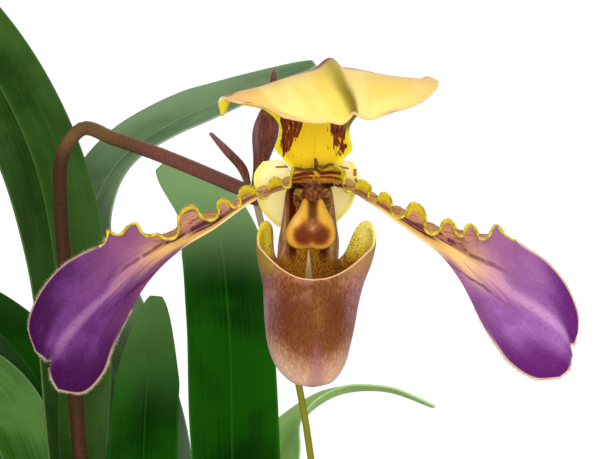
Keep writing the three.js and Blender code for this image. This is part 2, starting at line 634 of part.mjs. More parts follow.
function shieldSolid(extra = 0) {
  const outline = new THREE.Shape();
  outline.moveTo(-0.9, -5.8);
  outline.bezierCurveTo(-1.4, -4.8, -2.6, -4.2, -3.6, -4.8);
  outline.bezierCurveTo(-4.8, -6.6, -7.6, -10.2, -7.2, -13.6);
  outline.bezierCurveTo(-6.8, -16.6, -3.4, -17.6, -1, -16.6);
  outline.bezierCurveTo(1.6, -17.6, 5, -16.6, 5.4, -13.4);
  outline.bezierCurveTo(5.7, -10.2, 3.2, -6.6, 2.1, -4.8);
  outline.bezierCurveTo(1, -4.2, -0.4, -4.8, -0.9, -5.8);
  const plate = new THREE.ExtrudeGeometry(outline, {
    depth: 1.4,
    curveSegments: 5,
    bevelThickness: 0.7 + extra,
    bevelSize: 0.6 + extra,
    bevelOffset: -0.6,
    bevelSegments: 2,
  });
  plate.rotateX(Math.PI / 2);
  plate.rotateX(-0.12);
  plate.translate(0, -7.4, 0);
  plate.translate(FLOWER.x, FLOWER.y, FLOWER.z);
  return solid(plate);
}

// Build
const feet = [GROWTH_A, GROWTH_B].map((growth) => {
  const leaves = LEAVES.filter((leaf) => leaf.growth === growth).length;
  const reach = growth.core + leaves * SHEATH_STEP + 3.4;
  const hole = new THREE.CylinderGeometry(reach, reach, 40, 26);
  hole.rotateX(Math.PI / 2);
  hole.translate(growth.centre[0], growth.centre[1], HOLE_FLOOR + 20);
  return solid(hole);
});
const stakeHole = solid(upright(STAKE_RADIUS + 0.8, HOLE_FLOOR, 140, STAKE[0].x, STAKE[0].y, 12));

place("pot", geometryOf(potSolid()), CLAY);
place("potting_mix", geometryOf(mixSolid([...feet, stakeHole])), BARK);
place("peduncle", geometryOf(peduncleSolid()), STALK);
const nodeRoom = peduncleSolid(GAP);
// Each sheath gives way to the ones that it wraps
[GROWTH_A, GROWTH_B].forEach((growth) => {
  const fan = LEAVES.filter((leaf) => leaf.growth === growth).sort((one, other) => one.order - other.order);
  const inner = [nodeRoom];
  fan.forEach((leaf) => {
    place(leaf.name, geometryOf(cut(leafSolid(leaf), ...inner)), leaf.finish);
    inner.push(leafSolid(leaf, BLADE + 2 * GAP, ROOM_WIDER));
  });
});
const ovary = cut(ovarySolid(), nodeRoom);
const ovaryRoom = ovarySolid(GAP);
place("ovary", geometryOf(ovary), OVARY);
place("bud", geometryOf(cut(budSolid(), nodeRoom, ovaryRoom)), BUD);
place("floral_bract", geometryOf(cut(bractSolid(), nodeRoom)), BUD);
place("stake", geometryOf(cut(solid(stem(STAKE, () => STAKE_RADIUS, 8, 16)), nodeRoom)), CANE);
const column = cut(columnSolid(), ovaryRoom);
const columnRoom = columnSolid(GAP);
place("column", geometryOf(column), COLUMN);
place("staminode", geometryOf(cut(shieldSolid(), columnRoom)), SHIELD);
const shieldRoom = shieldSolid(GAP);
const petals = [
  ["petal_left", PETAL_LEFT_ROWS, CRESTS_LEFT],
  ["petal_right", PETAL_RIGHT_ROWS, CRESTS_RIGHT],
];
const petalRooms = petals.map(([, rows, crests]) => petalSolid(rows, crests, PETAL + 2 * GAP));
petals.forEach(([name, rows, crests]) => {
  place(name, geometryOf(cut(petalSolid(rows, crests), columnRoom, ovaryRoom)), PURPLE);
});
const dorsal = (thickness) => solid(sheet(10, 19, net(DORSAL_ROWS, FLOWER), thickness));
place("dorsal_sepal", geometryOf(cut(dorsal(SEPAL_SHEET), columnRoom, ovaryRoom, ...petalRooms)), SEPAL);
const pouchTools = [columnRoom, ovaryRoom, shieldRoom, ...petalRooms, dorsal(SEPAL_SHEET + 2 * GAP)];
place("pouch", geometryOf(cut(pouchSolid(), ...pouchTools)), POUCH);
const synsepal = solid(sheet(8, 8, net(SYNSEPAL_ROWS, FLOWER), SEPAL_SHEET));
place("synsepal", geometryOf(cut(synsepal, ovaryRoom, ...petalRooms)), SYNSEPAL);

export default part;
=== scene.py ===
"""A potted slipper orchid with one open flower: the finish of every piece.

Shapes are worked in millimetres, with the pot's base in the middle of the floor and the flower
facing -Y, and are scaled to metres as each piece is made.
"""

import bisect
import math
import random

import bmesh
import bpy
from mathutils import Euler, Matrix, Vector, noise


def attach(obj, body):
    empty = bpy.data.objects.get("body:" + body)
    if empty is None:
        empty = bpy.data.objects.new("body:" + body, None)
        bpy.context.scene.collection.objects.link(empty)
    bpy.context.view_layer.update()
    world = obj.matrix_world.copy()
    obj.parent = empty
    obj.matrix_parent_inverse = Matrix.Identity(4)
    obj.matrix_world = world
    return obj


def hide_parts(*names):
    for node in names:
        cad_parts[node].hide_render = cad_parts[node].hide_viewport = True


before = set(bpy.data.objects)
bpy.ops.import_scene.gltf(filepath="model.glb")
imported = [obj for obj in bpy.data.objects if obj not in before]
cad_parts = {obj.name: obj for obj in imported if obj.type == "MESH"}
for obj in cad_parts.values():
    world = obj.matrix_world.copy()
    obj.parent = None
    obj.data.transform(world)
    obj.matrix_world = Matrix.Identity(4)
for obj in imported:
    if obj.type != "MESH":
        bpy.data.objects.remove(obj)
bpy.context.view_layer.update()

MM = 0.001
BODY = "root"
MERGE = 1e-3
FLOWER = Vector((22, -85, 322))
NODE = Vector((7, -52, 319))


# Sums
def clamp(value, low=0.0, high=1.0):
    return min(high, max(low, value))


def mix(one, other, share):
    return one + (other - one) * share


def smooth(low, high, value):
    share = clamp((value - low) / (high - low))
    return share * share * (3 - 2 * share)


def hill(centre, half, value):
    """One at the centre, falling to nothing at half a width away."""
    return smooth(1, 0, abs(value - centre) / half)


def through(points, share):
    """The point at a share of the way along a smooth curve through points."""
    last = len(points) - 1
    place = clamp(share) * last
    i = min(int(place), last - 1)
    weight = place - i
    start, end = points[i], points[i + 1]
    before = points[i - 1] if i else 2 * start - end
    after = points[i + 2] if i + 2 <= last else 2 * end - start
    step = (end - start).length_squared ** 0.25
    lead = (start - before).length_squared ** 0.25
    trail = (after - end).length_squared ** 0.25
    leave = ((start - before) / lead - (end - before) / (lead + step) + (end - start) / step) * step
    arrive = ((end - start) / step - (after - start) / (step + trail) + (after - end) / trail) * step
    square = 3 * (end - start) - 2 * leave - arrive
    cube = 2 * (start - end) + leave + arrive
    return start + (leave + (square + cube * weight) * weight) * weight


def gauge(table, key):
    """The value at key on a smooth line through a table of (key, value) pairs."""
    keys = [pair[0] for pair in table]
    key = clamp(key, keys[0], keys[-1])
    i = min(max(bisect.bisect_right(keys, key) - 1, 0), len(table) - 2)
    slopes = []
    for j in (i, i + 1):
        low, high = table[max(j - 1, 0)], table[min(j + 1, len(table) - 1)]
        slopes.append((high[1] - low[1]) / (high[0] - low[0]))
    (from_key, start), (to_key, end) = table[i], table[i + 1]
    width = to_key - from_key
    share = (key - from_key) / width
    bow = (1 - share) * (slopes[0] * width - (end - start)) - share * (slopes[1] * width - (end - start))
    return mix(start, end, share) + share * (1 - share) * bow


class Net:
    """A smooth surface through rows of points, each row running across it."""

    def __init__(self, rows, origin=FLOWER):
        self.rows = [[Vector(point) + origin for point in row] for row in rows]
        self.columns = {}

    def __call__(self, u, v):
        if u not in self.columns:
            self.columns[u] = [through(row, u) for row in self.rows]
        return through(self.columns[u], v)


class Bend:
    """A smooth curve through points, measured by its length."""

    STEPS = 200

    def __init__(self, points):
        self.points = [Vector(point) for point in points]
        places = [through(self.points, i / self.STEPS) for i in range(self.STEPS + 1)]
        self.lengths = [0.0]
        for here, there in zip(places, places[1:]):
            self.lengths.append(self.lengths[-1] + (there - here).length)
        self.length = self.lengths[-1]

    def share(self, along):
        goal = clamp(along) * self.length
        i = min(max(bisect.bisect_left(self.lengths, goal), 1), self.STEPS)
        low, high = self.lengths[i - 1], self.lengths[i]
        return (i - 1 + (goal - low) / (high - low)) / self.STEPS

    def at(self, along):
        return through(self.points, self.share(along))

    def heading(self, along):
        middle = self.share(along)
        return (through(self.points, middle + 1e-3) - through(self.points, middle - 1e-3)).normalized()


# Mesh work
def even(share):
    return share


def dense_edges(share):
    """Closer together at both ends."""
    return mix(share, 0.5 - 0.5 * math.cos(share * math.pi), 0.75)


def sheet(surface, columns, rows, across=even, along=even, thickness=None):
    """A sheet of faces whose point at u across and v along is surface(u, v).

    Its chart is (u, v), and margin is each point's distance from the nearest free edge.
    """
    bm = bmesh.new()
    bmesh.ops.create_grid(bm, x_segments=columns, y_segments=rows, size=0.5)
    chart = bm.loops.layers.uv.new("chart")
    margin = bm.verts.layers.float.new("margin")
    deform = bm.verts.layers.deform.verify()
    spots = {}
    grid = {}
    for vert in bm.verts:
        i = round((vert.co.x + 0.5) * columns)
        j = round((vert.co.y + 0.5) * rows)
        u, v = across(i / columns), along(j / rows)
        spots[vert] = (u, v)
        grid[i, j] = vert
        vert.co = surface(u, v)
        vert[deform][0] = thickness(u, v) if thickness else 1.0
    for face in bm.faces:
        for loop in face.loops:
            loop[chart].uv = spots[loop.vert]
    for j in range(rows + 1):
        lengths = [0.0]
        for i in range(columns):
            lengths.append(lengths[-1] + (grid[i + 1, j].co - grid[i, j].co).length)
        for i in range(columns + 1):
            grid[i, j][margin] = min(lengths[i], lengths[-1] - lengths[i])
    for i in range(columns + 1):
        length = 0.0
        for j in range(rows, 0, -1):
            grid[i, j][margin] = min(grid[i, j][margin], length)
            length += (grid[i, j].co - grid[i, j - 1].co).length
    return bm


def weld(bm):
    """Closes seams, poles and open ends, and turns the faces outwards."""
    bmesh.ops.remove_doubles(bm, verts=bm.verts, dist=MERGE)
    bmesh.ops.holes_fill(bm, edges=[edge for edge in bm.edges if edge.is_boundary], sides=0)
    bmesh.ops.recalc_face_normals(bm, faces=bm.faces)
    return bm


def tube(path, radius_at, sides, steps):
    """A round stem along a path. radius_at takes the angle round it and the share along it."""
    bend = Bend(path)
    side = bend.heading(0).orthogonal()
    rings = []
    for i in range(steps + 1):
        heading = bend.heading(i / steps)
        side = (side - heading * side.dot(heading)).normalized()
        rings.append((bend.at(i / steps), side, heading.cross(side)))

    def surface(u, v):
        at, side, beside = rings[round(v * steps)]
        angle = (u % 1) * 2 * math.pi
        return at + (side * math.cos(angle) + beside * math.sin(angle)) * radius_at(angle, v)

    return weld(sheet(surface, columns=sides, rows=steps)), surface


def turned(profile, steps):
    """A shape spun round the upright axis from half its section, given by radius and height."""
    bm = bmesh.new()
    verts = [bm.verts.new((radius, 0, height)) for radius, height in profile]
    edges = [bm.edges.new(pair) for pair in zip(verts, verts[1:])]
    bmesh.ops.spin(
        bm, geom=verts + edges, axis=(0, 0, 1), cent=(0, 0, 0), angle=2 * math.pi, steps=steps,
        use_merge=True, use_duplicate=False,
    )
    bmesh.ops.remove_doubles(bm, verts=bm.verts, dist=MERGE)
    bmesh.ops.recalc_face_normals(bm, faces=bm.faces)
    return bm


def normal_of(surface, u, v, step=4e-3):
    across = surface(min(u + step, 1), v) - surface(max(u - step, 0), v)
    along = surface(u, min(v + step, 1)) - surface(u, max(v - step, 0))
    return across.cross(along).normalized()


def add_ball(bm, centre, radii, turn=(0, 0, 0), segments=24):
    """A ball stretched to its three radii, added to a mesh."""
    matrix = Matrix.LocRotScale(centre, Euler(turn), radii)
    bmesh.ops.create_uvsphere(
        bm, u_segments=segments, v_segments=segments // 2, radius=1, matrix=matrix, calc_uvs=False
    )


def scatter(bm, shape, places):
    """Adds a copy of a small mesh at each place, given as a matrix."""
    for matrix in places:
        shape.transform(matrix)
        bm.from_mesh(shape, face_normals=False, vertex_normals=False)
        shape.transform(matrix.inverted())


def aim(root, direction, length, width):
    """The matrix that stands a hair of unit length on its root."""
    turn = direction.to_track_quat("Z", "Y").to_matrix().to_4x4()
    return Matrix.Translation(root) @ turn @ Matrix.Diagonal((width, width, length, 1))


def new_mesh(name, bm):
    mesh = bpy.data.meshes.new(name)
    bm.to_mesh(mesh)
    bm.free()
    return mesh


def add_object(name, data):
    made = bpy.data.objects.new(name, data)
    bpy.context.collection.objects.link(made)
    return made


def make_hair():
    """One hair of three faces, as long and as wide as one unit."""
    bm = bmesh.new()
    bmesh.ops.create_cone(bm, segments=3, radius1=0.5, radius2=0, depth=1, cap_ends=False)
    bmesh.ops.translate(bm, verts=bm.verts, vec=(0, 0, 0.5))
    return new_mesh("hair", bm)


def finish_piece(name, bm, looks, stands_for=()):
    """Makes a mesh into a piece of the plant, in metres."""
    bmesh.ops.scale(bm, vec=(MM, MM, MM), verts=bm.verts)
    mesh = new_mesh(name, bm)
    mesh.shade_smooth()
    for look in looks:
        mesh.materials.append(look.material)
    piece = add_object(name, mesh)
    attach(piece, BODY)
    if stands_for:
        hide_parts(*stands_for)
    return piece


def thicken(piece, thickness, inner=0, rim=0, offset=0.0, thin=1.0, levels=1):
    """Gives a sheet its thickness, a material for each side, and rounded edges."""
    group = piece.vertex_groups.new(name="thickness")
    wall = piece.modifiers.new("wall", "SOLIDIFY")
    wall.thickness = thickness * MM
    wall.offset = offset
    wall.material_offset = inner
    wall.material_offset_rim = rim
    wall.vertex_group = group.name
    wall.thickness_vertex_group = thin
    if levels:
        round_off = piece.modifiers.new("round", "SUBSURF")
        round_off.levels = levels
        round_off.render_levels = levels


def make_fur(name, roots, length, width, look, seed, lean=0.35):
    """Hairs on their roots, each a (place, direction) pair."""
    draw = random.Random(seed)
    places = []
    for place, direction in roots:
        stray = Vector((draw.gauss(0, lean), draw.gauss(0, lean), draw.gauss(0, lean)))
        long = length * draw.uniform(0.6, 1.25)
        places.append(aim(place, (direction + stray).normalized(), long, width))
    bm = bmesh.new()
    scatter(bm, make_hair(), places)
    return finish_piece(name, bm, [look])


# Materials
def colour(code):
    """A scene colour from its usual hexadecimal code."""
    parts = [int(code[i:i + 2], 16) / 255 for i in (0, 2, 4)]
    return [part / 12.92 if part <= 0.04045 else ((part + 0.055) / 1.055) ** 2.4 for part in parts] + [1]


class Value:
    """A number in a material, which takes part in ordinary sums."""

    def __init__(self, look, socket):
        self.look = look
        self.socket = socket

    def sum_of(self, operation, *terms):
        return self.look.node("ShaderNodeMath", {"operation": operation}, dict(enumerate(terms)))

    def __add__(self, other):
        return self.sum_of("ADD", self, other)

    def __sub__(self, other):
        return self.sum_of("SUBTRACT", self, other)

    def __rsub__(self, other):
        return self.sum_of("SUBTRACT", other, self)

    def __mul__(self, other):
        return self.sum_of("MULTIPLY", self, other)

    def __truediv__(self, other):
        return self.sum_of("DIVIDE", self, other)

    def __pow__(self, other):
        return self.sum_of("POWER", self, other)

    def __abs__(self):
        return self.sum_of("ABSOLUTE", self)

    __radd__ = __add__
    __rmul__ = __mul__


class Look:
    """A material, made from sums on values."""

    def __init__(self, name, **sockets):
        self.material = bpy.data.materials.new(name)
        self.material.use_nodes = True
        self.nodes = self.material.node_tree.nodes
        self.links = self.material.node_tree.links
        self.shader = next(node for node in self.nodes if node.type == "BSDF_PRINCIPLED")
        for socket, value in sockets.items():
            self.shader.inputs[socket.replace("_", " ").title().replace("Ior", "IOR")].default_value = value

    def node(self, kind, settings=None, inputs=None, output=0):
        made = self.nodes.new(kind)
        for name, value in (settings or {}).items():
            if name == "stops":
                while len(made.color_ramp.elements) < len(value):
                    made.color_ramp.elements.new(0.5)
                for element, (place, shade) in zip(made.color_ramp.elements, value):
                    element.position = place
                    element.color = shade
            else:
                setattr(made, name, value)
        for socket, value in (inputs or {}).items():
            if isinstance(value, Value):
                self.links.new(value.socket, made.inputs[socket])
            else:
                made.inputs[socket].default_value = value
        return Value(self, made.outputs[output])

    def chart(self):
        """The place across and along the sheet."""
        spot = self.node("ShaderNodeUVMap", {"uv_map": "chart"})
        return self.parts(spot)[:2]

    def parts(self, vector):
        made = self.node("ShaderNodeSeparateXYZ", inputs={0: vector})
        return [Value(self, made.socket.node.outputs[i]) for i in range(3)]

    def place(self, origin=(0, 0, 0)):
        """The place on the piece, in millimetres from an origin."""
        spot = self.node("ShaderNodeTexCoord", output="Object")
        large = self.node("ShaderNodeVectorMath", {"operation": "SCALE"}, {0: spot, "Scale": 1 / MM})
        return self.node("ShaderNodeVectorMath", {"operation": "SUBTRACT"}, {0: large, 1: tuple(origin)})

    def margin(self):
        return self.node("ShaderNodeAttribute", {"attribute_name": "margin"}, output="Fac")

    def vector(self, x=0.0, y=0.0, z=0.0):
        return self.node("ShaderNodeCombineXYZ", inputs={0: x, 1: y, 2: z})

    def noise(self, vector, scale, detail=3.0, distortion=0.0):
        sockets = {"Vector": vector, "Scale": scale, "Detail": detail, "Distortion": distortion}
        return self.node("ShaderNodeTexNoise", inputs=sockets, output="Fac")

    def cells(self, vector, scale, randomness=1.0):
        """The distance to the nearest of a scatter of points."""
        sockets = {"Vector": vector, "Scale": scale, "Randomness": randomness}
        return self.node("ShaderNodeTexVoronoi", inputs=sockets, output="Distance")

    def step(self, value, low, high):
        """Nothing below low and one above high, with a soft change."""
        settings = {"interpolation_type": "SMOOTHSTEP"}
        return self.node(
            "ShaderNodeMapRange", settings, {"Value": value, "From Min": low, "From Max": high}
        )

    def band(self, value, centre, inner, outer):
        """One within inner of the centre, and nothing beyond outer."""
        return self.step(abs(value - centre), outer, inner)

    def profile(self, value, stops):
        """A number that follows a value through (place, height) stops."""
        shades = [(place, (height, height, height, 1)) for place, height in stops]
        ramp = self.node("ShaderNodeValToRGB", {"stops": shades}, {0: value})
        return self.parts(ramp)[0]

    def stroke(self, across, height, points, width, fade=0.4):
        """One along a line through points, given from left to right, and nothing beyond its half width."""
        left, right = points[0][0], points[-1][0]
        low = min(point[1] for point in points)
        span = max(point[1] for point in points) - low or 1
        stops = [((at - left) / (right - left), (level - low) / span) for at, level in points]
        course = self.profile((across - left) / (right - left), stops) * span + low
        ends = self.step(across, left - 0.2, left + 0.2) * self.step(across, right, right - fade)
        return self.step(abs(height - course), width, width * 0.35) * ends

    def ramp(self, value, stops):
        shades = [(place, colour(code)) for place, code in stops]
        return self.node("ShaderNodeValToRGB", {"stops": shades}, {0: value})

    def mix(self, one, other, factor):
        one, other = [colour(shade) if isinstance(shade, str) else shade for shade in (one, other)]
        return self.node("ShaderNodeMix", {"data_type": "RGBA"}, {0: factor, 6: one, 7: other}, output=2)

    def paint(self, base, coats):
        """A colour under coats of others, each a (colour, cover) pair."""
        for shade, cover in coats:
            base = self.mix(base, shade, cover)
        return base

    def set(self, base=None, roughness=None, relief=None, depth=0.1, strength=1.0):
        """Links what varies over the surface. depth is the relief's height in millimetres."""
        if base is not None:
            self.links.new(base.socket, self.shader.inputs["Base Color"])
        if roughness is not None:
            self.links.new(roughness.socket, self.shader.inputs["Roughness"])
        if relief is not None:
            bump = self.node(
                "ShaderNodeBump",
                inputs={"Height": relief, "Distance": depth * MM, "Strength": strength},
            )
            self.links.new(bump.socket, self.shader.inputs["Normal"])
        return self


# Petals. Rows run from the foot to the tip, each from the lower margin to the upper one.
LEFT_ROWS = [
    [(0.1, -3.8, -0.9), (0.1, -2.4, 0.8), (0.1, -0.2, 2.5)],
    [(-6.4, -2.6, -2), (-6.2, -1.4, -0.8), (-6, 0.4, 1)],
    [(-13.9, -2.5, -4.6), (-13.8, 0.4, -3.6), (-13.6, 3.4, -2)],
    [(-24.4, -3.5, -11.9), (-24.4, -0.4, -10.5), (-24.6, 3, -7.9)],
    [(-30.5, -4.5, -15.6), (-30.9, -1.4, -13.6), (-31.4, 2, -10)],
    [(-35.9, -6, -20), (-37, -2.6, -16.8), (-37.6, 1, -13.4)],
    [(-39.8, -7, -24.4), (-42.6, -3.8, -20.8), (-43.9, -1, -13.4)],
    [(-43.4, -8, -30.2), (-48.2, -5.2, -26.4), (-49.6, -3, -15.4)],
    [(-45.9, -9, -35.1), (-52.8, -6.5, -30.6), (-55.4, -5, -17.6)],
    [(-48.3, -9.5, -40.7), (-56.5, -7.4, -34.3), (-61.2, -6.5, -21.4)],
    [(-50.4, -9.8, -46.4), (-60, -8, -38.4), (-66.2, -8, -28)],
    [(-55, -9.8, -51), (-62.2, -8.2, -42), (-68.5, -8.4, -35)],
    [(-61.6, -9.2, -50.6), (-63.8, -8.3, -44.2), (-66.8, -8.4, -41.3)],
]
RIGHT_ROWS = [
    [(-0.1, -3.9, -0.9), (-0.1, -2.6, 0.8), (0.3, -0.6, 5.1)],
    [(7.2, -2.6, -1.9), (7.2, -1.4, -0.9), (7.2, 0.4, 1)],
    [(13.3, -2.5, -5.3), (13.3, 0.4, -4.3), (13.2, 3.4, -2.2)],
    [(24.6, -3.5, -13.4), (24.8, -0.4, -11.7), (25, 3, -8.4)],
    [(29.4, -4.5, -16.9), (30.4, -1.4, -14.8), (31.6, 2, -11.4)],
    [(32.5, -6, -20.3), (35.5, -2.6, -17.8), (37, 1, -13)],
    [(35.4, -7, -24.6), (40.6, -3.8, -21.8), (42.6, -1, -13.6)],
    [(38, -8, -29.8), (45.2, -5.2, -26), (47.6, -3, -14.4)],
    [(40.7, -9, -35.1), (49, -6.5, -29.8), (51.4, -5, -16.6)],
    [(43.2, -9.5, -39.2), (52.6, -7.4, -32.8), (56.2, -6.5, -20)],
    [(46.8, -9.8, -44), (56.2, -8, -36.2), (60.6, -8, -25.6)],
    [(52.6, -9.8, -47.6), (59.4, -8.2, -39.4), (63.2, -8.4, -32.4)],
    [(59, -9.2, -47.6), (61.6, -8.3, -43), (63.2, -8.4, -36.8)],
]
# The waved upper margin as seen from the front, from the foot to the last wave
LEFT_RIM = [
    (0.1, 2.5), (-3, 2.5), (-5, 2.7), (-5.6, 0.5), (-5.8, -1.6), (-7.2, -1.8), (-8.1, -0.2), (-9.6, 0.5),
    (-10.9, -0.8), (-10.9, -3.2), (-12.2, -4.5), (-13.6, -3.7), (-14.2, -2.4), (-15.8, -1.5), (-17.9, -2.3),
    (-18.1, -4.4), (-17.9, -6), (-19.2, -6.8), (-20.8, -5.5), (-22, -4.7), (-23.4, -5.6), (-23.2, -8.2),
    (-24.6, -9.7), (-26.7, -9.4), (-28.1, -8), (-29.2, -6.4), (-31.2, -6.8), (-33, -9.1), (-32.8, -11.8),
    (-33.6, -13.9), (-35.9, -14.3), (-38, -13.2), (-40, -13.7), (-41.6, -12.9), (-43.2, -10.7),
    (-45.2, -11.5), (-46.8, -13.3), (-48.8, -12.9), (-49.9, -12.3), (-49.1, -13.8), (-50.2, -16.2),
]
RIGHT_RIM = [
    (0.3, 5.1), (0.8, 3.5), (2.4, 3), (3.8, 3.7), (6.1, 2.9), (7.4, 1.8), (7.3, 0), (7.1, -2), (8.5, -2.9),
    (9.9, -2), (10.8, -0.4), (12, -0.2), (13.8, -1.8), (13.3, -3.6), (13.6, -5.2), (15.4, -5), (16.4, -3.4),
    (17.6, -3.3), (18.9, -5.2), (18.8, -7.8), (20.2, -9.3), (21.9, -8.7), (22.8, -7.1), (23.9, -5.7),
    (26.3, -6.7), (27.2, -9.2), (27, -12), (28.5, -13.2), (30.4, -12.3), (31.4, -10.4), (32.8, -9.7),
    (34.1, -11), (34.6, -13.2), (35.9, -13.6), (36.8, -11.7), (38, -10.9), (39.3, -12.2), (40.2, -14.3),
    (42.1, -13.8), (43.2, -11.9), (44.4, -10.9), (44.9, -12.6), (46.4, -14.3),
]
# Dark and pale marks over the joined feet: points, half width and colour
FOOT_STROKES = [
    ([(-5.3, 0.8), (-2.3, 1.65), (0.3, 1.6)], 0.62, "561804"),
    ([(-5.3, -0.1), (-2.5, 0.5), (-0.2, 0.4)], 0.5, "62260A"),
    ([(1.2, 0.6), (4, 0.65), (6.8, 0.1)], 0.5, "6A2A0A"),
    ([(0.4, 2.9), (1, 2.1), (1.9, 1.6), (4.1, 1.8), (6.8, 1.5)], 0.72, "4A1A06"),
    ([(-0.6, 2.4), (1.5, 0.6)], 0.3, "C4A420"),
]
# The midrib's place across the petal, from the foot to the tip
LEFT_RIB = [(0, 0.5), (1, 0.5)]
RIGHT_RIB = [(0, 0.5), (0.5, 0.5), (0.67, 0.56), (0.83, 0.6), (0.92, 0.62), (1, 0.68)]
WAVE_LENGTH = 15
WAVE_LEAN = 0.75
WAVE_ARCH = 1.15
WAVE_ROWS = 0.8
# Where along the waves the last one starts to run into the blade, on the left and on the right
WAVE_SETTLES = {-1: 0.955, 1: 0.91}


class Frill:
    """A petal whose upper half is a ribbon, gathered along a waved margin.

    A crest leans back. A trough swings forward, and the ribbon arches over behind it.
    """

    STEPS = 360
    HINGES = 160

    def __init__(self, rows, rim, rib, side):
        self.base = Net(rows)
        self.rib = rib
        self.side = side
        margin = Bend([Vector((x, 0, z)) + FLOWER for x, z in rim])
        window = round(WAVE_LENGTH / margin.length * self.STEPS / 2)
        self.rim = [margin.at(i / self.STEPS) for i in range(self.STEPS + 1)]
        self.mean = []
        for i in range(self.STEPS + 1):
            reach = min(i, self.STEPS - i, window)
            near = self.rim[i - reach:i + reach + 1]
            self.mean.append(sum(near, Vector()) / len(near))
        shares = [i / self.HINGES for i in range(self.HINGES + 1)]
        hinge = [(abs(self.base(0.5, share).x - FLOWER.x), share) for share in shares]
        self.places = [0.0]
        for mean in self.mean[1:]:
            place = gauge(hinge, abs(mean.x - FLOWER.x))
            self.places.append(max(place, self.places[-1] + 1e-5))
        self.end = self.places[-1]

    def rows(self, share):
        """Spaces the rows of faces evenly along the waved margin, and then along the blade."""
        if share < WAVE_ROWS:
            place = share / WAVE_ROWS * self.STEPS
            i = min(int(place), self.STEPS - 1)
            return mix(self.places[i], self.places[i + 1], place - i)
        return mix(self.end, 1, (share - WAVE_ROWS) / (1 - WAVE_ROWS))

    def ribbon(self, share, v):
        i = clamp(bisect.bisect_right(self.places, v) - 1, 0, self.STEPS - 1)
        weight = (v - self.places[i]) / (self.places[i + 1] - self.places[i])
        rim = self.rim[i].lerp(self.rim[i + 1], weight)
        mean = self.mean[i].lerp(self.mean[i + 1], weight)
        swing = rim.z - mean.z
        hinge = self.base(0.5, v)
        rim = Vector((rim.x, hinge.y + WAVE_LEAN * swing, rim.z))
        knee = Vector((mix(hinge.x, rim.x, 0.5), hinge.y + 0.4, mean.z + WAVE_ARCH * max(0, -swing)))
        return hinge.lerp(knee, share).lerp(knee.lerp(rim, share), share)

    def __call__(self, u, v):
        at = self.base(u, v)
        from_rib = abs(u - gauge(self.rib, v))
        blade = smooth(0.45, 0.75, v) * (1 - 0.6 * smooth(0.9, 1, v))
        at += Vector((0, -1.1, 0)) * (blade * smooth(0.02, 0.24, from_rib) * math.sin(math.pi * u) ** 0.5)
        lobe = 0.9 * hill(0.28, 0.28, u) - 1.2 * hill(gauge(self.rib, 1), 0.1, u)
        at += Vector((0.6 * self.side, 0, -0.8)) * (lobe * smooth(0.86, 1, v))
        if u > 0.5 and v < self.end:
            at = self.ribbon(2 * u - 1, v).lerp(at, smooth(WAVE_SETTLES[self.side], 1, v / self.end))
        return at


class PetalPlace:
    """Where a point of a petal lies, as values in its material."""

    def __init__(self, look, rib):
        self.u, self.v = look.chart()
        self.margin = look.margin()
        self.place = look.place(FLOWER)
        self.x, _, self.z = look.parts(self.place)
        self.out = abs(self.x)
        self.from_rib = abs(self.u - look.profile(self.v, rib))
        self.fibre = look.noise(look.vector(self.u * 26, self.v * 7), 1.0, 4)
        strands = look.noise(look.vector(self.u * 20, self.v * 24), 1.0, 3, 0.6)
        self.streak = look.step(strands, 0.48, 0.66)


def blade_colour(look, at, tints):
    """Purple, darker towards the margins and paler along the midrib."""
    v = at.v
    cloud = look.noise(at.place, 0.12, 3)
    velvet = look.noise(at.place, 1.6, 3)
    upper = look.step(v, 0.66, 0.9) * look.step(at.u, 0.58, 0.76)
    lower = look.step(v, 0.67, 0.93) * look.step(at.u, 0.54, 0.24)
    glow = look.band(at.from_rib, 0, 0.02, 0.2) * look.step(v, 0.45, 0.7) * look.step(v, 0.94, 0.8)
    # The pale line down the midrib is partly the rib's own colour and partly painted highlight.
    ribbing = look.band(at.from_rib, 0, 0.005, 0.085) * look.step(v, 0.4, 0.7)
    purple = look.mix(tints["purple"], tints["mid"], look.step(cloud + at.fibre * 0.4, 0.5, 0.85))
    return look.paint(purple, [
        (tints["dark"], look.step(upper + lower + (cloud - 0.5) * 0.6, 0.1, 0.95) * 0.9),
        (tints["mid"], glow * 0.7),
        (tints["dark"], look.step(at.margin, 5, 1) * look.step(v, 0.62, 0.8) * 0.6),
        (tints["rib"], ribbing * (0.75 - look.step(v, 0.78, 0.97) * 0.55)),
        (tints["deep"], look.step(velvet, 0.5, 0.7) * 0.28),
        (tints["rib"], look.step(velvet, 0.48, 0.3) * 0.06),
    ])


def waist_colour(look, at, tints):
    """Gold, with a blush towards the blade."""
    gold = look.mix(tints["gold"], tints["blush"], look.step(at.out, 34, 45))
    return look.mix(gold, tints["mauve"], look.step(at.fibre, 0.5, 0.75) * look.step(at.out, 30, 40) * 0.4)


def arm_colour(look, at, tints, arm):
    """The brown upper half of the arm, with its olive margin."""
    out, streak = at.out, at.streak
    near = look.mix("A87C2A", "6E4414", streak)
    far = look.mix(arm["face"], arm["streak"], streak)
    bright = look.step(at.margin, 3.2, 0.9) * look.step(out, arm["bright_end"], arm["bright_end"] - 12)
    # Painted shade: the arm's face darkens next to its hinge, under the crests.
    shade = look.step(at.u, 0.7, 0.52) * look.step(out, 9, 12)
    return look.paint(look.mix(near, far, look.step(out, 9, 22)), [
        ("C4AC16", bright + look.step(at.margin, 1, 0.4)),
        (tints["stripe"], shade * (0.5 + streak * 0.5)),
    ])


def strip_colour(look, at, tints):
    """The golden strip along the lower half of the arm."""
    strip = look.mix("E2B05A", "EFC88A", look.step(at.u, 0.2, 0.04))
    strip = look.mix(strip, tints["stripe"], look.step(at.u, 0.3, 0.42) * look.step(at.out, 33, 28))
    inner = look.mix("A87848", "5E2C1C", at.streak)
    return look.mix(inner, strip, look.step(at.out, 11, 17))


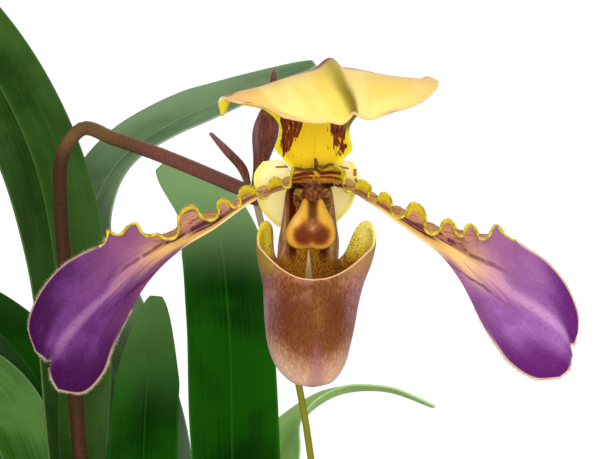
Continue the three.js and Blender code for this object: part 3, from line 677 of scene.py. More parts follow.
def foot_colour(look, at):
    """The joined feet in the middle of the flower."""
    x, z = at.x, at.z
    rings = look.step(look.noise(look.vector(x * 0.25, 0, z * 1.5), 1.0, 3, 0.5), 0.46, 0.56)
    foot = look.paint(look.mix("BC8A1C", "8A4A12", rings), [
        ("8E8A14", look.step(at.out, 5, 5.8) * 0.85),
        ("A8701C", look.step(z, 0.3, -0.6) * 0.8),
        ("7C8414", look.step(z, 2.2, 3.2) * look.step(x, 0.6, 1.6) * 0.8),
    ])
    for points, width, code in FOOT_STROKES:
        foot = look.mix(foot, code, look.stroke(x, z + (rings - 0.5) * 0.16, points, width) * 0.95)
    return look.mix(foot, "4E2A0A", look.band(x, 0.42, 0.2, 0.5) * look.step(z, 1.9, 2.5))


def petal_look(name, kind):
    """Purple blade, golden waist with maroon stripes, and a brown arm with an olive margin."""
    look = Look(name, roughness=0.6, specular_ior_level=0.05)
    at = PetalPlace(look, kind["rib"])
    u, v, out, z = at.u, at.v, at.out, at.z
    tints, arm = kind["tints"], kind["arm"]
    fade = look.step(out + at.from_rib * 34 + (at.fibre - 0.5) * 12, 41, 55)
    low_rim = look.step(u, 0.24, 0.04) * look.step(out, 27, 34) * look.step(v, 0.75, 0.6)
    low_edge = look.step(at.margin, 5, 1) * look.step(u, 0.5, 0.3) * look.step(v, 0.5, 0.6)
    base = look.paint(waist_colour(look, at, tints), [
        (blade_colour(look, at, tints), fade),
        (tints["mauve"], low_rim * 0.85),
        (tints["dark"], low_edge * 0.5),
        (tints["warm"], look.step(u, 0.52, 0.7) * look.step(out, 60, 42) * 0.8),
    ])
    wander = z + (look.noise(at.place, 0.7, 2) - 0.5) * 0.7
    broken = look.step(look.noise(look.vector(out * 0.4, z * 0.3), 1.0, 3), 0.3, 0.52)
    faded = 1 - look.step(out, 38, 54) * 0.55
    for points, width in kind["stripes"]:
        stripe = look.stroke(out, wander, points, width, 8) * look.step(u, 0.72, 0.66)
        base = look.mix(base, tints["stripe"], stripe * (0.1 + broken * 0.65) * faded)
    upper_half = look.step(u, 0.48, 0.53) * look.step(out, 44, 33)
    base = look.mix(base, arm_colour(look, at, tints, arm), upper_half)
    # Painted shadow: dark purple where each crest overhangs the arm.
    for points, width in kind["overhang_shadows"]:
        overhang_shadow = look.stroke(out, z, points, width, 1) * look.step(u, 0.5, 0.54)
        base = look.mix(base, arm["overhang_shadow"], overhang_shadow)
    plain = look.step(v, 0.6, 0.66) * look.step(at.margin, 0.6, 0.2)
    plain = plain * look.step(u, 0.5, 0.8) + plain * look.step(u, 0.5, 0.2) * look.step(v, 0.66, 0.8)
    base = look.paint(base, [
        (strip_colour(look, at, tints), look.step(u, 0.52, 0.48) * look.step(out, 34, 27)),
        (foot_colour(look, at), look.step(out, 7.2, 6.4) * look.step(z, -1.6, -0.6)),
        (tints["edge"], plain * 0.85),
    ])
    relief = at.fibre + look.noise(at.place, 5.0, 2) * 0.4
    return look.set(base, relief=relief, depth=0.12, strength=0.6)


def petal_back_look(name, tints):
    look = Look(name, roughness=0.6, specular_ior_level=0.12)
    u, v = look.chart()
    x, _, z = look.parts(look.place(FLOWER))
    out = abs(x)
    fibre = look.noise(look.vector(u * 22, v * 9), 1.0, 4)
    glint = look.step(look.noise(look.vector(out * 1.6, z * 0.8), 1.0, 3), 0.56, 0.66)
    base = look.paint(look.mix("A87C4E", "8A5C40", look.step(fibre, 0.4, 0.6)), [
        ("B89A2C", look.step(u, 0.92, 0.76) * look.step(out, 26, 18) * 0.85),
        (tints["mid"], look.step(out, 32, 50) * 0.75),
        ("8A5A48", look.step(fibre, 0.52, 0.66) * look.step(out, 44, 34) * 0.6),
        ("D8B494", glint * look.step(out, 46, 38) * look.step(out, 8, 16) * 0.5),
        (tints["rib"], look.band(u, 0.52, 0.02, 0.08) * look.step(v, 0.4, 0.6) * 0.6),
    ])
    return look.set(base, relief=fibre, depth=0.12, strength=0.5)


def cord_look():
    look = Look("olive_margin", roughness=0.5, specular_ior_level=0.2)
    olive = look.mix("D2BC16", "A08A0C", look.step(look.noise(look.place(), 0.8, 3), 0.42, 0.62))
    out = abs(look.parts(look.place(FLOWER))[0])
    return look.set(look.mix(olive, "5E4410", look.step(out, 5.4, 4.4)))


# Stripes, and the painted shadows that crests cast into the hollows, are lines of points, out from the
# middle and up, each with a half width.
PETALS = {
    "left": {
        "side": -1, "rows": LEFT_ROWS, "rim": LEFT_RIM, "rib": LEFT_RIB,
        "tints": {
            "purple": "50225A", "mid": "66326E", "dark": "340236", "deep": "3A083C", "rib": "926690",
            "gold": "E6B86A", "blush": "AC7680", "warm": "84506A", "mauve": "784068", "stripe": "4A1630",
            "edge": "B89C84",
        },
        "stripes": [
            ([(33, -14.2), (36.7, -15.3), (40.1, -17.8), (43, -19.5), (49.3, -23.7), (55, -27.7)], 0.75),
            ([(36, -20.5), (43, -26.1), (46.4, -28.8), (49.3, -31.7), (55, -36.8)], 0.6),
            ([(22, -8.8), (26, -11.3), (30, -13.4), (34, -14.9)], 0.7),
        ],
        "overhang_shadows": [
            ([(18.4, -7.2), (24.4, -9.9)], 0.55),
            ([(25.6, -10.3), (28, -11.2), (30.6, -12.6)], 1.0),
            ([(31.5, -13.4), (36.5, -15.6)], 0.6),
        ],
        "arm": {"face": "AE7A5E", "streak": "7A4632", "overhang_shadow": "4E2438", "bright_end": 24},
    },
    "right": {
        "side": 1, "rows": RIGHT_ROWS, "rim": RIGHT_RIM, "rib": RIGHT_RIB,
        "tints": {
            "purple": "7E4888", "mid": "925E9A", "dark": "521058", "deep": "622464", "rib": "BC8AB8",
            "gold": "ECC276", "blush": "BC8696", "warm": "8C5878", "mauve": "8E587E", "stripe": "54182E",
            "edge": "E0B890",
        },
        "stripes": [
            (
                [
                    (23, -10.1), (30.3, -13.4), (33.3, -14.9), (35.1, -16.5), (38.8, -18.6), (43, -20.6),
                    (50, -24),
                ],
                0.85,
            ),
            ([(31, -19), (33.5, -20.9), (37, -23.4), (40.7, -25.7), (44.9, -29), (51, -32.5)], 0.45),
            ([(25, -13.3), (29.4, -16.5), (33.5, -20.6)], 0.5),
        ],
        "overhang_shadows": [
            ([(14.2, -5.5), (18.6, -8.2)], 0.5),
            ([(21.4, -9.1), (24, -10.7), (27, -12.6)], 0.8),
            ([(30.2, -12.8), (31.8, -13.6)], 0.5),
            ([(32.4, -14.4), (34.8, -15.6)], 0.7),
        ],
        "arm": {"face": "B07A5E", "streak": "804A34", "overhang_shadow": "562A3A", "bright_end": 34},
    },
}
PETAL_WALL = 0.75
PETAL_SHARE = 0.55
CORD_RADIUS = 0.36
CORD_KNOTS = 0.08
CORD_STEPS = 400
FRINGE_HAIRS = 3000
TIP_HAIRS = 200
TUFT_HAIRS = 60


def margin_cord(surface):
    """The knotted cord along a petal's waved margin."""
    edge = [surface(1, surface.rows(WAVE_ROWS * i / CORD_STEPS)) for i in range(CORD_STEPS + 1)]

    def radius(angle, v):
        return CORD_RADIUS + CORD_KNOTS * math.sin(v * 190) * math.sin(v * 71)

    return tube(edge, radius, sides=10, steps=CORD_STEPS)[0]


def fringe_roots(surface, side):
    """Roots for the hairs of both margins, of the tip, and of a tuft on the last wave."""
    draw = random.Random(side + 5)
    roots = []
    for _ in range(FRINGE_HAIRS):
        low = draw.random() < 0.25
        v = draw.uniform(0.6, 1) if low else surface.rows(draw.uniform(0.05, 1))
        u = 0.004 if low else 0.998
        at = surface(u, v)
        inward = surface(mix(u, 0.5, 0.12), v)
        roots.append((at, (at - inward).normalized() + Vector((0, -0.15, 0))))
    for _ in range(TIP_HAIRS):
        u = draw.uniform(0.02, 0.98)
        at = surface(u, 0.999)
        roots.append((at, (at - surface(u, 0.96)).normalized()))
    tuft = surface(1, surface.rows(WAVE_ROWS * 0.965))
    for _ in range(TUFT_HAIRS):
        spot = tuft + Vector((draw.gauss(0, 0.4), draw.gauss(0, 0.3), draw.gauss(0, 0.4)))
        roots.append((spot, Vector((side * 0.5, 0, 1))))
    return roots


def make_petals():
    fringe = Look("pale_hair", roughness=0.6, base_color=colour("DCC8A0"))
    cord = cord_look()
    for name, kind in PETALS.items():
        side = kind["side"]
        surface = Frill(kind["rows"], kind["rim"], kind["rib"], side)
        looks = [petal_look(f"{name}_petal", kind), petal_back_look(f"{name}_petal_back", kind["tints"])]
        bm = sheet(
            surface, columns=32, rows=420, across=dense_edges, along=surface.rows,
            thickness=lambda u, v: PETAL_SHARE,
        )
        if side > 0:
            bmesh.ops.reverse_faces(bm, faces=bm.faces)
        piece = finish_piece(f"{name}_petal", bm, looks, [f"petal_{name}"])
        thicken(piece, PETAL_WALL, inner=1, thin=0.0, levels=0)
        finish_piece(f"{name}_petal_margin", margin_cord(surface), [cord])
        make_fur(
            f"{name}_petal_fringe", fringe_roots(surface, side), length=0.85, width=0.055, look=fringe,
            seed=11 + side,
        )


# Upper sepal. Rows run from its foot to its tip, each from the left margin to the right one.
HOOD_ROWS = [
    [(-5.4, 1.6, 2.6), (-2.8, 0.9, 2.4), (0, 0.6, 2.2), (2.8, 0.9, 2.4), (5.4, 1.6, 2.6)],
    [(-7.8, 3.2, 5.6), (-3.8, 0.9, 5.6), (0, 0.2, 5.6), (3.7, 0.9, 5.6), (7.3, 3.2, 5.4)],
    [(-9.5, 4.6, 8), (-5.2, 0.9, 8.2), (0.1, 0, 8.4), (5.2, 0.9, 8.2), (9.3, 4.6, 7.7)],
    [(-8.7, 3.6, 10.4), (-5.2, 0.6, 10.8), (0.2, -0.3, 11.2), (5.2, 0.6, 10.8), (8.8, 3.6, 10.2)],
    [(-8.5, 2.2, 13.8), (-5.2, 0, 14.4), (0.3, -0.8, 15), (5.4, 0, 14.4), (8.7, 2.2, 13.2)],
    [(-11.6, 0, 17), (-6.2, -2.4, 18.8), (0.8, -3.6, 20.2), (7.2, -2.2, 19.4), (12.6, 0, 17.6)],
    [(-17.5, -8, 18.2), (-9.4, -8.6, 20.8), (2, -9.8, 25.2), (12, -8.4, 22.6), (21, -8, 20.4)],
    [(-22, -17.5, 19.4), (-12, -17, 21.6), (3.6, -18, 28), (15, -17, 24.4), (28.8, -18, 22.9)],
    [(-21.4, -21.6, 18.6), (-10.8, -24, 20.4), (5, -25.6, 25), (15.8, -24, 22.2), (28.8, -21.6, 21.4)],
    [(-18.6, -24.6, 17.6), (-8.4, -28, 17.4), (6.4, -30.4, 20.6), (15.8, -28.4, 18.8), (26, -25.4, 18.2)],
    [(-13.4, -27, 16.9), (-4, -30.6, 14), (7.9, -33.4, 17.2), (14.6, -31.2, 15.4), (22.6, -27.6, 16.4)],
    [(-7, -30.5, 13.5), (2, -33.6, 12.1), (9, -35.6, 13.8), (12.4, -33.8, 12.9), (17, -31.4, 15.1)],
]


def hood_inside_look():
    """Yellow, with two ragged brown patches."""
    look = Look("upper_sepal_inside", roughness=0.5, specular_ior_level=0.1)
    x, _, z = look.parts(look.place(FLOWER))
    v = look.chart()[1]
    margin = look.margin()
    ragged = look.noise(look.vector(x * 1.7, 0, z * 0.45), 1.0, 4)
    drop = look.step(z, 14, 5)
    left = look.step(x, -8.8, -7.4) * look.step(x + drop * 4.2, -2, -3.4) * look.step(z, 4.6, 8)
    right = look.step(x - drop * 1.4, 3, 4.4) * look.step(x, 8.6, 7) * look.step(z, 4.2, 8.4)
    frayed = (ragged - 0.5) * 3.4 * look.step(abs(x), 1.8, 3.6) * look.step(z, 3, 5.5)
    patch = look.step(left + right * 0.86 + frayed, 0.42, 0.6)
    brown = look.mix("7A3408", "481002", look.step(ragged, 0.46, 0.66))
    yellow = look.mix("EACC16", "DEB410", look.noise(look.vector(x * 0.9, 0, z * 0.2), 1.0, 3))
    base = look.paint(yellow, [
        ("CC980C", look.step(z, 6.5, 3.2) * 0.4),
        ("ECDC24", look.step(margin, 2.2, 0.8)),
        (brown, patch * look.step(margin, 0.25, 0.7)),
        ("D09A12", look.band(x - 0.1, 0, 0.05, 0.4) * look.step(z, 13, 8) * 0.4),
        ("8A5A14", look.step(z, 4.2, 2.6) * look.step(ragged, 0.4, 0.6) * 0.7),
        ("6A3A34", look.step(x, 6.4, 7.6) * look.step(z, 11, 13.5) * 0.85),
        ("D8A868", look.step(v, 0.52, 0.58)),
        ("CCB81E", look.step(x, -19, -21) * look.step(v, 0.56, 0.6)),
    ])
    return look.set(base, relief=ragged, depth=0.15, strength=0.5)


def hood_outside_look():
    """Cream yellow, with a green keel and a shadow beside it."""
    look = Look("upper_sepal_outside", roughness=0.6, specular_ior_level=0.1)
    place = look.place(FLOWER)
    x = look.parts(place)[0]
    u, v = look.chart()
    margin = look.margin()
    fibre = look.noise(look.vector(u * 12, v * 2), 1.0, 3)
    cloud = look.noise(place, 0.09, 2)
    keel = look.band(u, 0.5, 0.006, 0.05) * (0.6 + look.step(v, 0.62, 0.9) * 0.35)
    shadow = look.band(u, 0.528, 0.004, 0.05) * look.step(v, 0.7, 0.95)
    ridge = look.band(v, 0.65, 0.006, 0.03) * look.step(u, 0.86, 0.6)
    peak = look.band(v, 0.64, 0.01, 0.05) * look.band(u, 0.49, 0.01, 0.06)
    cream = look.mix("F0D680", "EAC864", look.step(fibre * 0.6 + cloud * 0.4, 0.4, 0.62))
    base = look.paint(cream, [
        ("E0A86C", look.step(u, 0.3, 0.04) * (0.4 + cloud * 0.7)),
        ("E2B472", look.step(u, 0.8, 0.98) * (0.3 + cloud * 0.5)),
        ("E0AE78", look.step(v, 0.74, 0.6) * (0.5 + fibre * 0.3)),
        ("8E6A48", look.step(v, 0.6, 0.575) * 0.9),
        ("A06A48", look.step(v, 0.55, 0.48)),
        ("E6C84E", look.band(u, 0.45, 0.02, 0.1) * look.step(v, 0.6, 0.75) * 0.6),
        ("8A7A1C", keel),
        ("6E4A10", shadow * 0.75),
        ("8A5E50", ridge * 0.75 + peak * 0.5),
        ("E8C07E", look.step(margin, 0.8, 0.3) * look.step(v, 0.56, 0.6) * 0.7),
        ("E8D424", look.step(margin, 0.7, 0.3) * look.step(v, 0.6, 0.56)),
        ("F2EEDA", look.step(x, -20.8, -22.4) * look.step(v, 0.56, 0.6) * 0.9),
    ])
    return look.set(base, relief=fibre, depth=0.12, strength=0.35)


HOOD_WALL = 0.7
HOOD_HAIRS = 900
HOOD_CURL = 0.672


def hood_surface():
    base = Net(HOOD_ROWS)

    def surface(u, v):
        keel = hill(0.5, 0.05, u) * smooth(0.3, 0.62, v)
        pinch = (hill(0.5, 0.24, u) - hill(0.5, 0.06, u)) * hill(0.66, 0.2, v)
        beak = hill(0.4, 0.11, u) * smooth(0.84, 1, v)
        curl = hill(HOOD_CURL, 0.085, v) * smooth(0.16, 0, u)
        bump = hill(0.61, 0.025, v) * smooth(0.94, 1, u)
        at = base(u, v) + Vector((0, -0.4, 0.4)) * keel
        at += Vector((0, 0, -2.2)) * pinch + Vector((0, -0.2, -1.5)) * beak
        return at + Vector((-2.9 + 3.2 * curl, -0.8, -4.5 * curl)) * curl + Vector((-0.6, 0, 1.3)) * bump

    return surface


def hood_hair_roots(surface):
    """Roots along the margins, on the left curl and over the outside."""
    draw = random.Random(31)
    roots = []
    for _ in range(HOOD_HAIRS):
        v = draw.uniform(0.02, 0.99)
        u = draw.choice((0.003, 0.997))
        at = surface(u, v)
        roots.append((at, (at - surface(mix(u, 0.5, 0.08), v)).normalized()))
    for _ in range(HOOD_HAIRS):
        v = draw.gauss(HOOD_CURL, 0.03)
        u = draw.uniform(0, 0.08)
        roots.append((surface(u, v), Vector((-0.7, -0.4, -0.4))))
    for _ in range(HOOD_HAIRS):
        u, v = draw.uniform(0.03, 0.97), draw.uniform(0.4, 0.99)
        roots.append((surface(u, v), -normal_of(surface, u, v)))
    return roots


def make_hood():
    surface = hood_surface()
    looks = [hood_inside_look(), hood_outside_look()]
    bm = sheet(surface, columns=64, rows=110, across=dense_edges)
    piece = finish_piece("upper_sepal", bm, looks, ["dorsal_sepal"])
    thicken(piece, HOOD_WALL, inner=1, rim=1)
    down = Look("sepal_hair", roughness=0.6, base_color=colour("E6DCBC"))
    roots = hood_hair_roots(surface)
    make_fur("upper_sepal_hair", roots, length=0.5, width=0.055, look=down, seed=32)


# Lower sepals. Rows run from the top to the foot, each from left to right.
LOWER_SEPAL_ROWS = [
    [(-12.6, 6, 4.8), (-7.6, 6.8, 4.8), (-1.4, 7.6, -4), (5.8, 6.8, 4.8), (9.7, 6, 4.7)],
    [(-14.7, 5.6, 1.6), (-9.4, 7.6, 0.6), (-1.6, 9, -5.4), (6.2, 7.6, 0.8), (10.9, 5.6, 1.6)],
    [(-14.4, 6, -2.6), (-8.6, 8.8, -3.4), (-1.8, 10.4, -7.6), (5.4, 8.8, -3.2), (10.4, 6, -2.6)],
    [(-13, 7, -7), (-7.6, 9.8, -8), (-1.8, 11.4, -10.4), (4.4, 9.8, -7.8), (8.8, 7, -6.6)],
    [(-9, 9, -11.2), (-5.6, 11, -12.4), (-1.8, 12, -13.6), (2, 11, -12.2), (5.4, 9, -10.4)],
]


LOWER_SEPALS_WALL = 0.8


def lower_sepals_look():
    # The faint glow is painted light: the emission stands in for daylight shining through the thin sepals
    # from behind.
    look = Look(
        "lower_sepals", roughness=0.55, specular_ior_level=0.12,
        emission_color=colour("FFEA90"), emission_strength=0.14,
    )
    x, y, z = look.parts(look.place(FLOWER))
    fibre = look.noise(look.vector(x * 0.9, y, z * 0.25), 1.0, 4)
    mark = look.band(z - 3.4 - (x + 8.2) * 0.06, 0, 0.1, 0.42) * look.band(x + 7.6, 0, 1.4, 2.4)
    mark = mark + look.band(z - 3.2 + (x - 7.5) * 0.2, 0, 0.1, 0.4) * look.band(x - 7.4, 0, 0.8, 1.6)
    spot = look.band(z - 2, 0, 0.5, 1.3) * look.band(x - 10.1, 0, 0.2, 0.6)
    spot = spot + look.band(z - 0.1, 0, 0.2, 0.7) * look.band(x - 10.3, 0, 0.1, 0.5)
    base = look.paint(look.mix("FFF6B8", "FFEE9A", fibre), [
        ("F0DC5A", look.step(look.margin(), 2.6, 0.4) * 0.8),
        ("8A3E28", look.step(mark + spot + fibre * 0.2, 0.4, 0.75)),
    ])
    return look.set(base, relief=fibre, depth=0.15, strength=0.4)


def make_lower_sepals():
    bm = sheet(Net(LOWER_SEPAL_ROWS), columns=40, rows=36, across=dense_edges)
    piece = finish_piece("lower_sepals", bm, [lower_sepals_look()], ["synsepal"])
    thicken(piece, LOWER_SEPALS_WALL)


# Pouch. Its rim is given by its height at angles round the mouth, from the front to the back.
RIM = [
    (0, -23.9), (14, -23.4), (30, -21.8), (46, -19.4), (60, -17.4), (74, -15.8), (88, -13), (98, -10.8),
    (106, -9.9), (114, -10.6), (124, -14), (134, -18.4), (146, -19), (150, -14), (154, -5.4), (158, -2.2),
    (166, -1.7), (180, -1.6),
]
# Height, half width, middle, front and back
POUCH_WALLS = [
    (-50.1, 0.2, -0.5, -6, -5.6),
    (-49.3, 4, -0.5, -8.8, -2.8),
    (-47.5, 6.4, -0.7, -10.6, -0.8),
    (-44.5, 8.5, -1, -12.2, 1.4),
    (-40, 10, -1.2, -13.4, 3.8),
    (-35, 10.9, -1, -14, 5.4),
    (-30, 11.5, -0.7, -14, 6.2),
    (-25, 12.3, -0.2, -14, 6.4),
    (-20, 13.8, 0.2, -14.4, 6.2),
    (-15, 14.5, 0.5, -14.6, 5.6),
    (-10, 13.6, 0.6, -14.5, 5),
    (-1, 12.4, 0.6, -14, 3.2),
]
POUCH_SQUARE = 0.86
CLAW_SHIFT = 1.8
POUCH_WALL = 1.0
POUCH_LIP = 0.45


def pouch_surface(u, v):
    """u runs round the pouch from the back, and v from the toe to the rim."""
    angle = (2 * u - 1) * math.pi
    turn = abs(angle)
    rim = gauge(RIM, math.degrees(turn))
    height = mix(POUCH_WALLS[0][0], rim, math.sin(v * math.pi / 2) ** 1.5)
    half, middle, front, back = [
        gauge([(row[0], row[i]) for row in POUCH_WALLS], height) for i in range(1, 5)
    ]
    if v == 0:
        half, front, back = 0, (front + back) / 2, (front + back) / 2
    across = math.copysign(abs(math.sin(angle)) ** POUCH_SQUARE, angle)
    depth = -math.copysign(abs(math.cos(angle)) ** POUCH_SQUARE, math.cos(angle))
    tuck = 3.2 * smooth(1.7, 2.2, turn) * (1 - smooth(2.5, 2.75, turn)) * smooth(0.62, 1, v)
    shift = CLAW_SHIFT * smooth(1.8, 2.5, turn) * smooth(-32, -20, height)
    x = middle - shift + across * (half - tuck)
    return FLOWER + Vector((x, mix(front, back, 0.5 + depth / 2), height))


def pouch_outside_look():
    """Brown with green shoulders, mauve flanks and a pale toe."""
    look = Look(
        "pouch_outside", roughness=0.5, specular_ior_level=0.12, sheen_weight=0.04,
        sheen_tint=colour("E8D0E0"),
    )
    place = look.place(FLOWER)
    x, y, z = look.parts(place)
    dabs = look.noise(look.vector(x * 2.6, y * 2.6, z * 1.1), 1.0, 4, 0.3)
    pale_dabs = look.noise(look.vector(x * 1.7 + 40, y * 1.7, z * 0.5), 1.0, 5, 0.3)
    mottle = look.noise(place, 0.22, 3)
    droop = (x + 0.4) * (x + 0.4) * look.step(z, -26, -38) * 0.075
    ragged = (pale_dabs - 0.5) * 9 * look.step(z, -36, -42)
    length = look.ramp((z - droop + ragged + 50) / 40, [
        (0, "CCA68E"), (0.1, "B08468"), (0.2, "784222"), (0.34, "5E2C02"), (0.5, "562600"),
        (0.62, "7A441C"), (0.7, "92602E"), (0.78, "A0702E"), (0.86, "AC8422"), (1, "AE961C"),
    ])
    centre = look.band(x - 0.2, 0, 2, 8.5) * look.step(z, -44, -36) * look.step(z, -22, -28)
    streak = look.band(x - 1, 0, 0.2, 2.4) * look.step(z, -40, -32) * look.step(z, -25, -30)
    flank = look.step(abs(x + 0.3), 5.5, 12) * look.step(z, -17, -26) * look.step(z, -42, -32)
    spread = look.step(z, -40, -49) * 1.1
    stripe = look.step(abs(x - 0.6) - spread, 1.8, -0.4) * look.step(z, -36, -44)
    sheen = look.step(abs(x + 0.2), 10.2, 12) * look.step(z, -26, -31) * look.step(z, -46, -40)
    dots = look.step(look.cells(place, 1.5), 0.24, 0.16) * look.step(z, -19, -15)
    base = look.paint(length, [
        ("6A3604", centre * (0.45 + mottle * 0.8)),
        ("865408", streak * (0.2 + mottle * 0.7)),
        ("905E60", flank * 0.85),
        ("B4787A", flank * look.step(x, 4, 9) * 0.5),
        ("8E566A", stripe * (0.25 + mottle * 0.5)),
        ("4E1E06", look.step(dabs, 0.42, 0.62) * look.step(z, -49, -36) * 0.65),
        ("B07E58", look.step(pale_dabs, 0.46, 0.72) * (0.06 + look.step(z, -36, -46) * 0.34)),
        ("B88468", look.step(mottle, 0.5, 0.64) * look.step(z, -31, -26) * look.step(z, -17, -20) * 0.3),
        ("A87E46", look.step(x, 5, 10) * look.step(z, -26, -20) * look.step(z, -12, -16) * 0.6),
        ("8E7416", look.step(x, -7, -11) * look.step(z, -25, -19) * 0.8),
        ("B89AA8", sheen * 0.5),
        ("A27E6A", look.step(y, -3, 1) * look.step(z, -22, -17)),
        ("4E2A06", dots * 0.75),
        ("DCAE82", look.step(look.margin(), 0.42, 0.12) * look.step(z, -14, -17) * 0.8),
    ])
    return look.set(base, relief=dabs + mottle, depth=0.16, strength=0.5)


def pouch_inside_look():
    """Yellow at the mouth, dark and grained at the back, with a pale claw."""
    look = Look("pouch_inside", roughness=0.55, specular_ior_level=0.05)
    place = look.place(FLOWER)
    x, y, z = look.parts(place)
    margin = look.margin()
    back = look.step(y, -3, 2.5)
    front = 1 - back
    low = look.step(z, -15.5, -21.5)
    blotch = look.noise(look.vector(x * 0.8, y * 0.8, z * 0.3), 1.0, 4)
    grain = look.cells(look.vector(x * 2.9, y * 1.4, z * 1.7), 1.0)
    side = abs(x + 1.5)
    inner = look.step(x, -11.2, -9.6) * look.step(x, 0, -4)
    inner = inner * look.step(z, -24, -18) * look.step(z, -10, -13)
    claw = back * look.step(z, -21, -17) * look.step(side, 9.4, 8.4)
    flank = look.mix("C0965E", "966640", look.step(blotch, 0.42, 0.6))
    wedge = look.step(abs(x + 1.3) + (z + 16.8) * 0.13, 0.15, -0.15) * look.step(z, -16.6, -17.2) * back
    wedge_colour = look.mix("A88E64", "DCCBA0", look.step(z, -23, -18))
    lining = look.mix(look.mix("F2DC48", "D8BC22", blotch), look.mix("D09A18", "9A5E08", back), low)
    base = look.paint(lining, [
        # Paler yellow near the rim of the right ear: painted light, for daylight shining through the thin
        # ear.
        ("F4E682", look.step(margin, 7, 2.5) * (1 - low) * front * look.step(x, 5, 9) * 0.85),
        ("7A4608", look.step(blotch, 0.5, 0.64) * (0.08 + low * 0.5)),
        ("9A6412", back * look.step(side, 8, 6) * 0.9),
        ("3E1A04", look.step(grain, 0.5, 0.3) * back * 0.85),
        ("4A2606", look.step(look.cells(place, 1.5), 0.26, 0.17) * front * 0.8),
        ("6E4406", inner * look.step(side, 7, 8) * 0.85),
        (flank, claw * look.step(side, 3.9, 5)),
        ("6A3A14", claw * look.band(side, 4.6, 0.5, 1.1) * 0.8),
        ("4E0C02", claw * look.band(side, 3.7, 0.6, 1.1)),
        (wedge_colour, wedge * 0.9),
        ("E0BC94", look.step(margin, 0.35, 0.1) * look.step(z, -14, -17) * front),
    ])
    return look.set(base, relief=grain, depth=0.12, strength=0.5)


def make_pouch():
    bm = sheet(
        pouch_surface, columns=240, rows=72,
        thickness=lambda u, v: mix(1, POUCH_LIP, smooth(0.85, 1, v)),
    )
    bmesh.ops.remove_doubles(bm, verts=bm.verts, dist=MERGE)
    piece = finish_piece("pouch_wall", bm, [pouch_outside_look(), pouch_inside_look()], ["pouch"])
    thicken(piece, POUCH_WALL, inner=1, rim=1, offset=-1.0, thin=0.0, levels=0)


# Shield: its outline as seen from the front, from the top point on the left round the foot
SHIELD_OUTLINE = [
    (-2.33, -4.55), (-3.73, -7.24), (-5.03, -8.95), (-6.52, -11.52), (-6.95, -13.04), (-6.52, -14.96),
    (-5.24, -16.26), (-2.89, -16.79), (-1.16, -16.47), (1.2, -16.88), (3.56, -16.26), (4.85, -14.96),
    (5.17, -12.82), (4.64, -10.01), (3.34, -7.67), (2.28, -5.29), (1.73, -4.55), (-0.27, -5.6),
]
SHIELD_MIDDLE = (-0.9, -12)
SHIELD_FRONT = -8.6


def shield_surface():
    """A cushion that fills the outline. v runs from the middle of the front to that of the back."""
    outline = [Vector((x, 0, z)) for x, z in SHIELD_OUTLINE]
    ring = outline[-2:] + outline + outline[:2]
    middle = Vector((SHIELD_MIDDLE[0], 0, SHIELD_MIDDLE[1]))

    def surface(u, v):
        share = (2 + (u % 1) * len(outline)) / (len(ring) - 1)
        reach = 1 - abs(1 - 2 * v)
        at = middle.lerp(through(ring, share), reach)
        x, z = at.x + 0.9, at.z
        swell = math.sqrt(max(0, 1 - reach ** 5))
        if v < 0.5:
            roll = 1.5 * swell + 0.35 * hill(0.78, 0.3, reach)
            roll -= 0.35 * hill(0, 5.4, x) * hill(-13, 4.5, z)
            roll += 0.45 * hill(0.1, 1.9, x) * hill(-11.4, 2, z)
            roll -= 0.35 * hill(0.4, 1.6, x) * smooth(-10.5, -6.5, z)
        else:
            roll = -0.7 * swell
        return FLOWER + at + Vector((0, SHIELD_FRONT - roll + 0.1 * (z + 12), 0))

    return surface


def shield_look():
    """Ochre, with a dark heart-shaped patch round a pale wart."""
    look = Look("shield", roughness=0.5, specular_ior_level=0.06)
    x, _, z = look.parts(look.place(FLOWER))
    grain = look.noise(look.place(), 1.1, 3)
    left = look.band(x + 3.4, 0, 0.1, 2.9) * look.band(z + 13.4, 0, 0.1, 3.6)
    right = look.band(x - 2.3, 0, 0.1, 2.9) * look.band(z + 13.2, 0, 0.1, 3.6)
    foot = look.band(x + 0.6, 0, 1.4, 4.4) * look.band(z + 14.4, 0, 0.3, 2.6)
    heart = look.band(x + 0.7, 0, 0.8, 3.6) * look.band(z + 11.6, 0, 0.6, 3.4)
    patch = left + right + foot * 0.8 + heart * 0.7 + (grain - 0.5) * 0.3
    wart = look.band(x + 0.4, 0, 0.2, 2.2) * look.band(z + 10.8, 0, 0.3, 2.5)
    wart_colour = look.mix("9A5E38", "C48A68", look.step(grain, 0.5, 0.62))
    base = look.paint(look.mix("CC9C36", "BE8C2A", grain), [
        ("E2B464", look.band(x + 4.4, 0, 0.2, 2.2) * look.step(z, -14.5, -10) * 0.5),
        ("A4661E", look.step(patch, 0, 0.6)),
        ("6A2E06", look.step(patch, 0.2, 1.0)),
        ("461602", look.step(patch, 0.7, 1.7) * 0.5),
        (wart_colour, wart * 0.8),
        ("B47C34", look.band(x + 0.5, 0, 0.1, 0.9) * look.step(z, -14.6, -16) * 0.7),
        ("4E1A04", look.band(x + 0.35, 0, 0.5, 2) * look.step(z, -12, -8.5) * 0.95),
    ])
    return look.set(base, relief=grain, depth=0.1, strength=0.4)


def make_shield():
    bm = weld(sheet(shield_surface(), columns=72, rows=48))
    finish_piece("shield_plate", bm, [shield_look()], ["staminode"])


# Column. The two round lobes stand at its sides, each with a pollen mass on its front.
LOBES = (-3.7, 2.7)
POLLEN = (-3.7, 2.6)


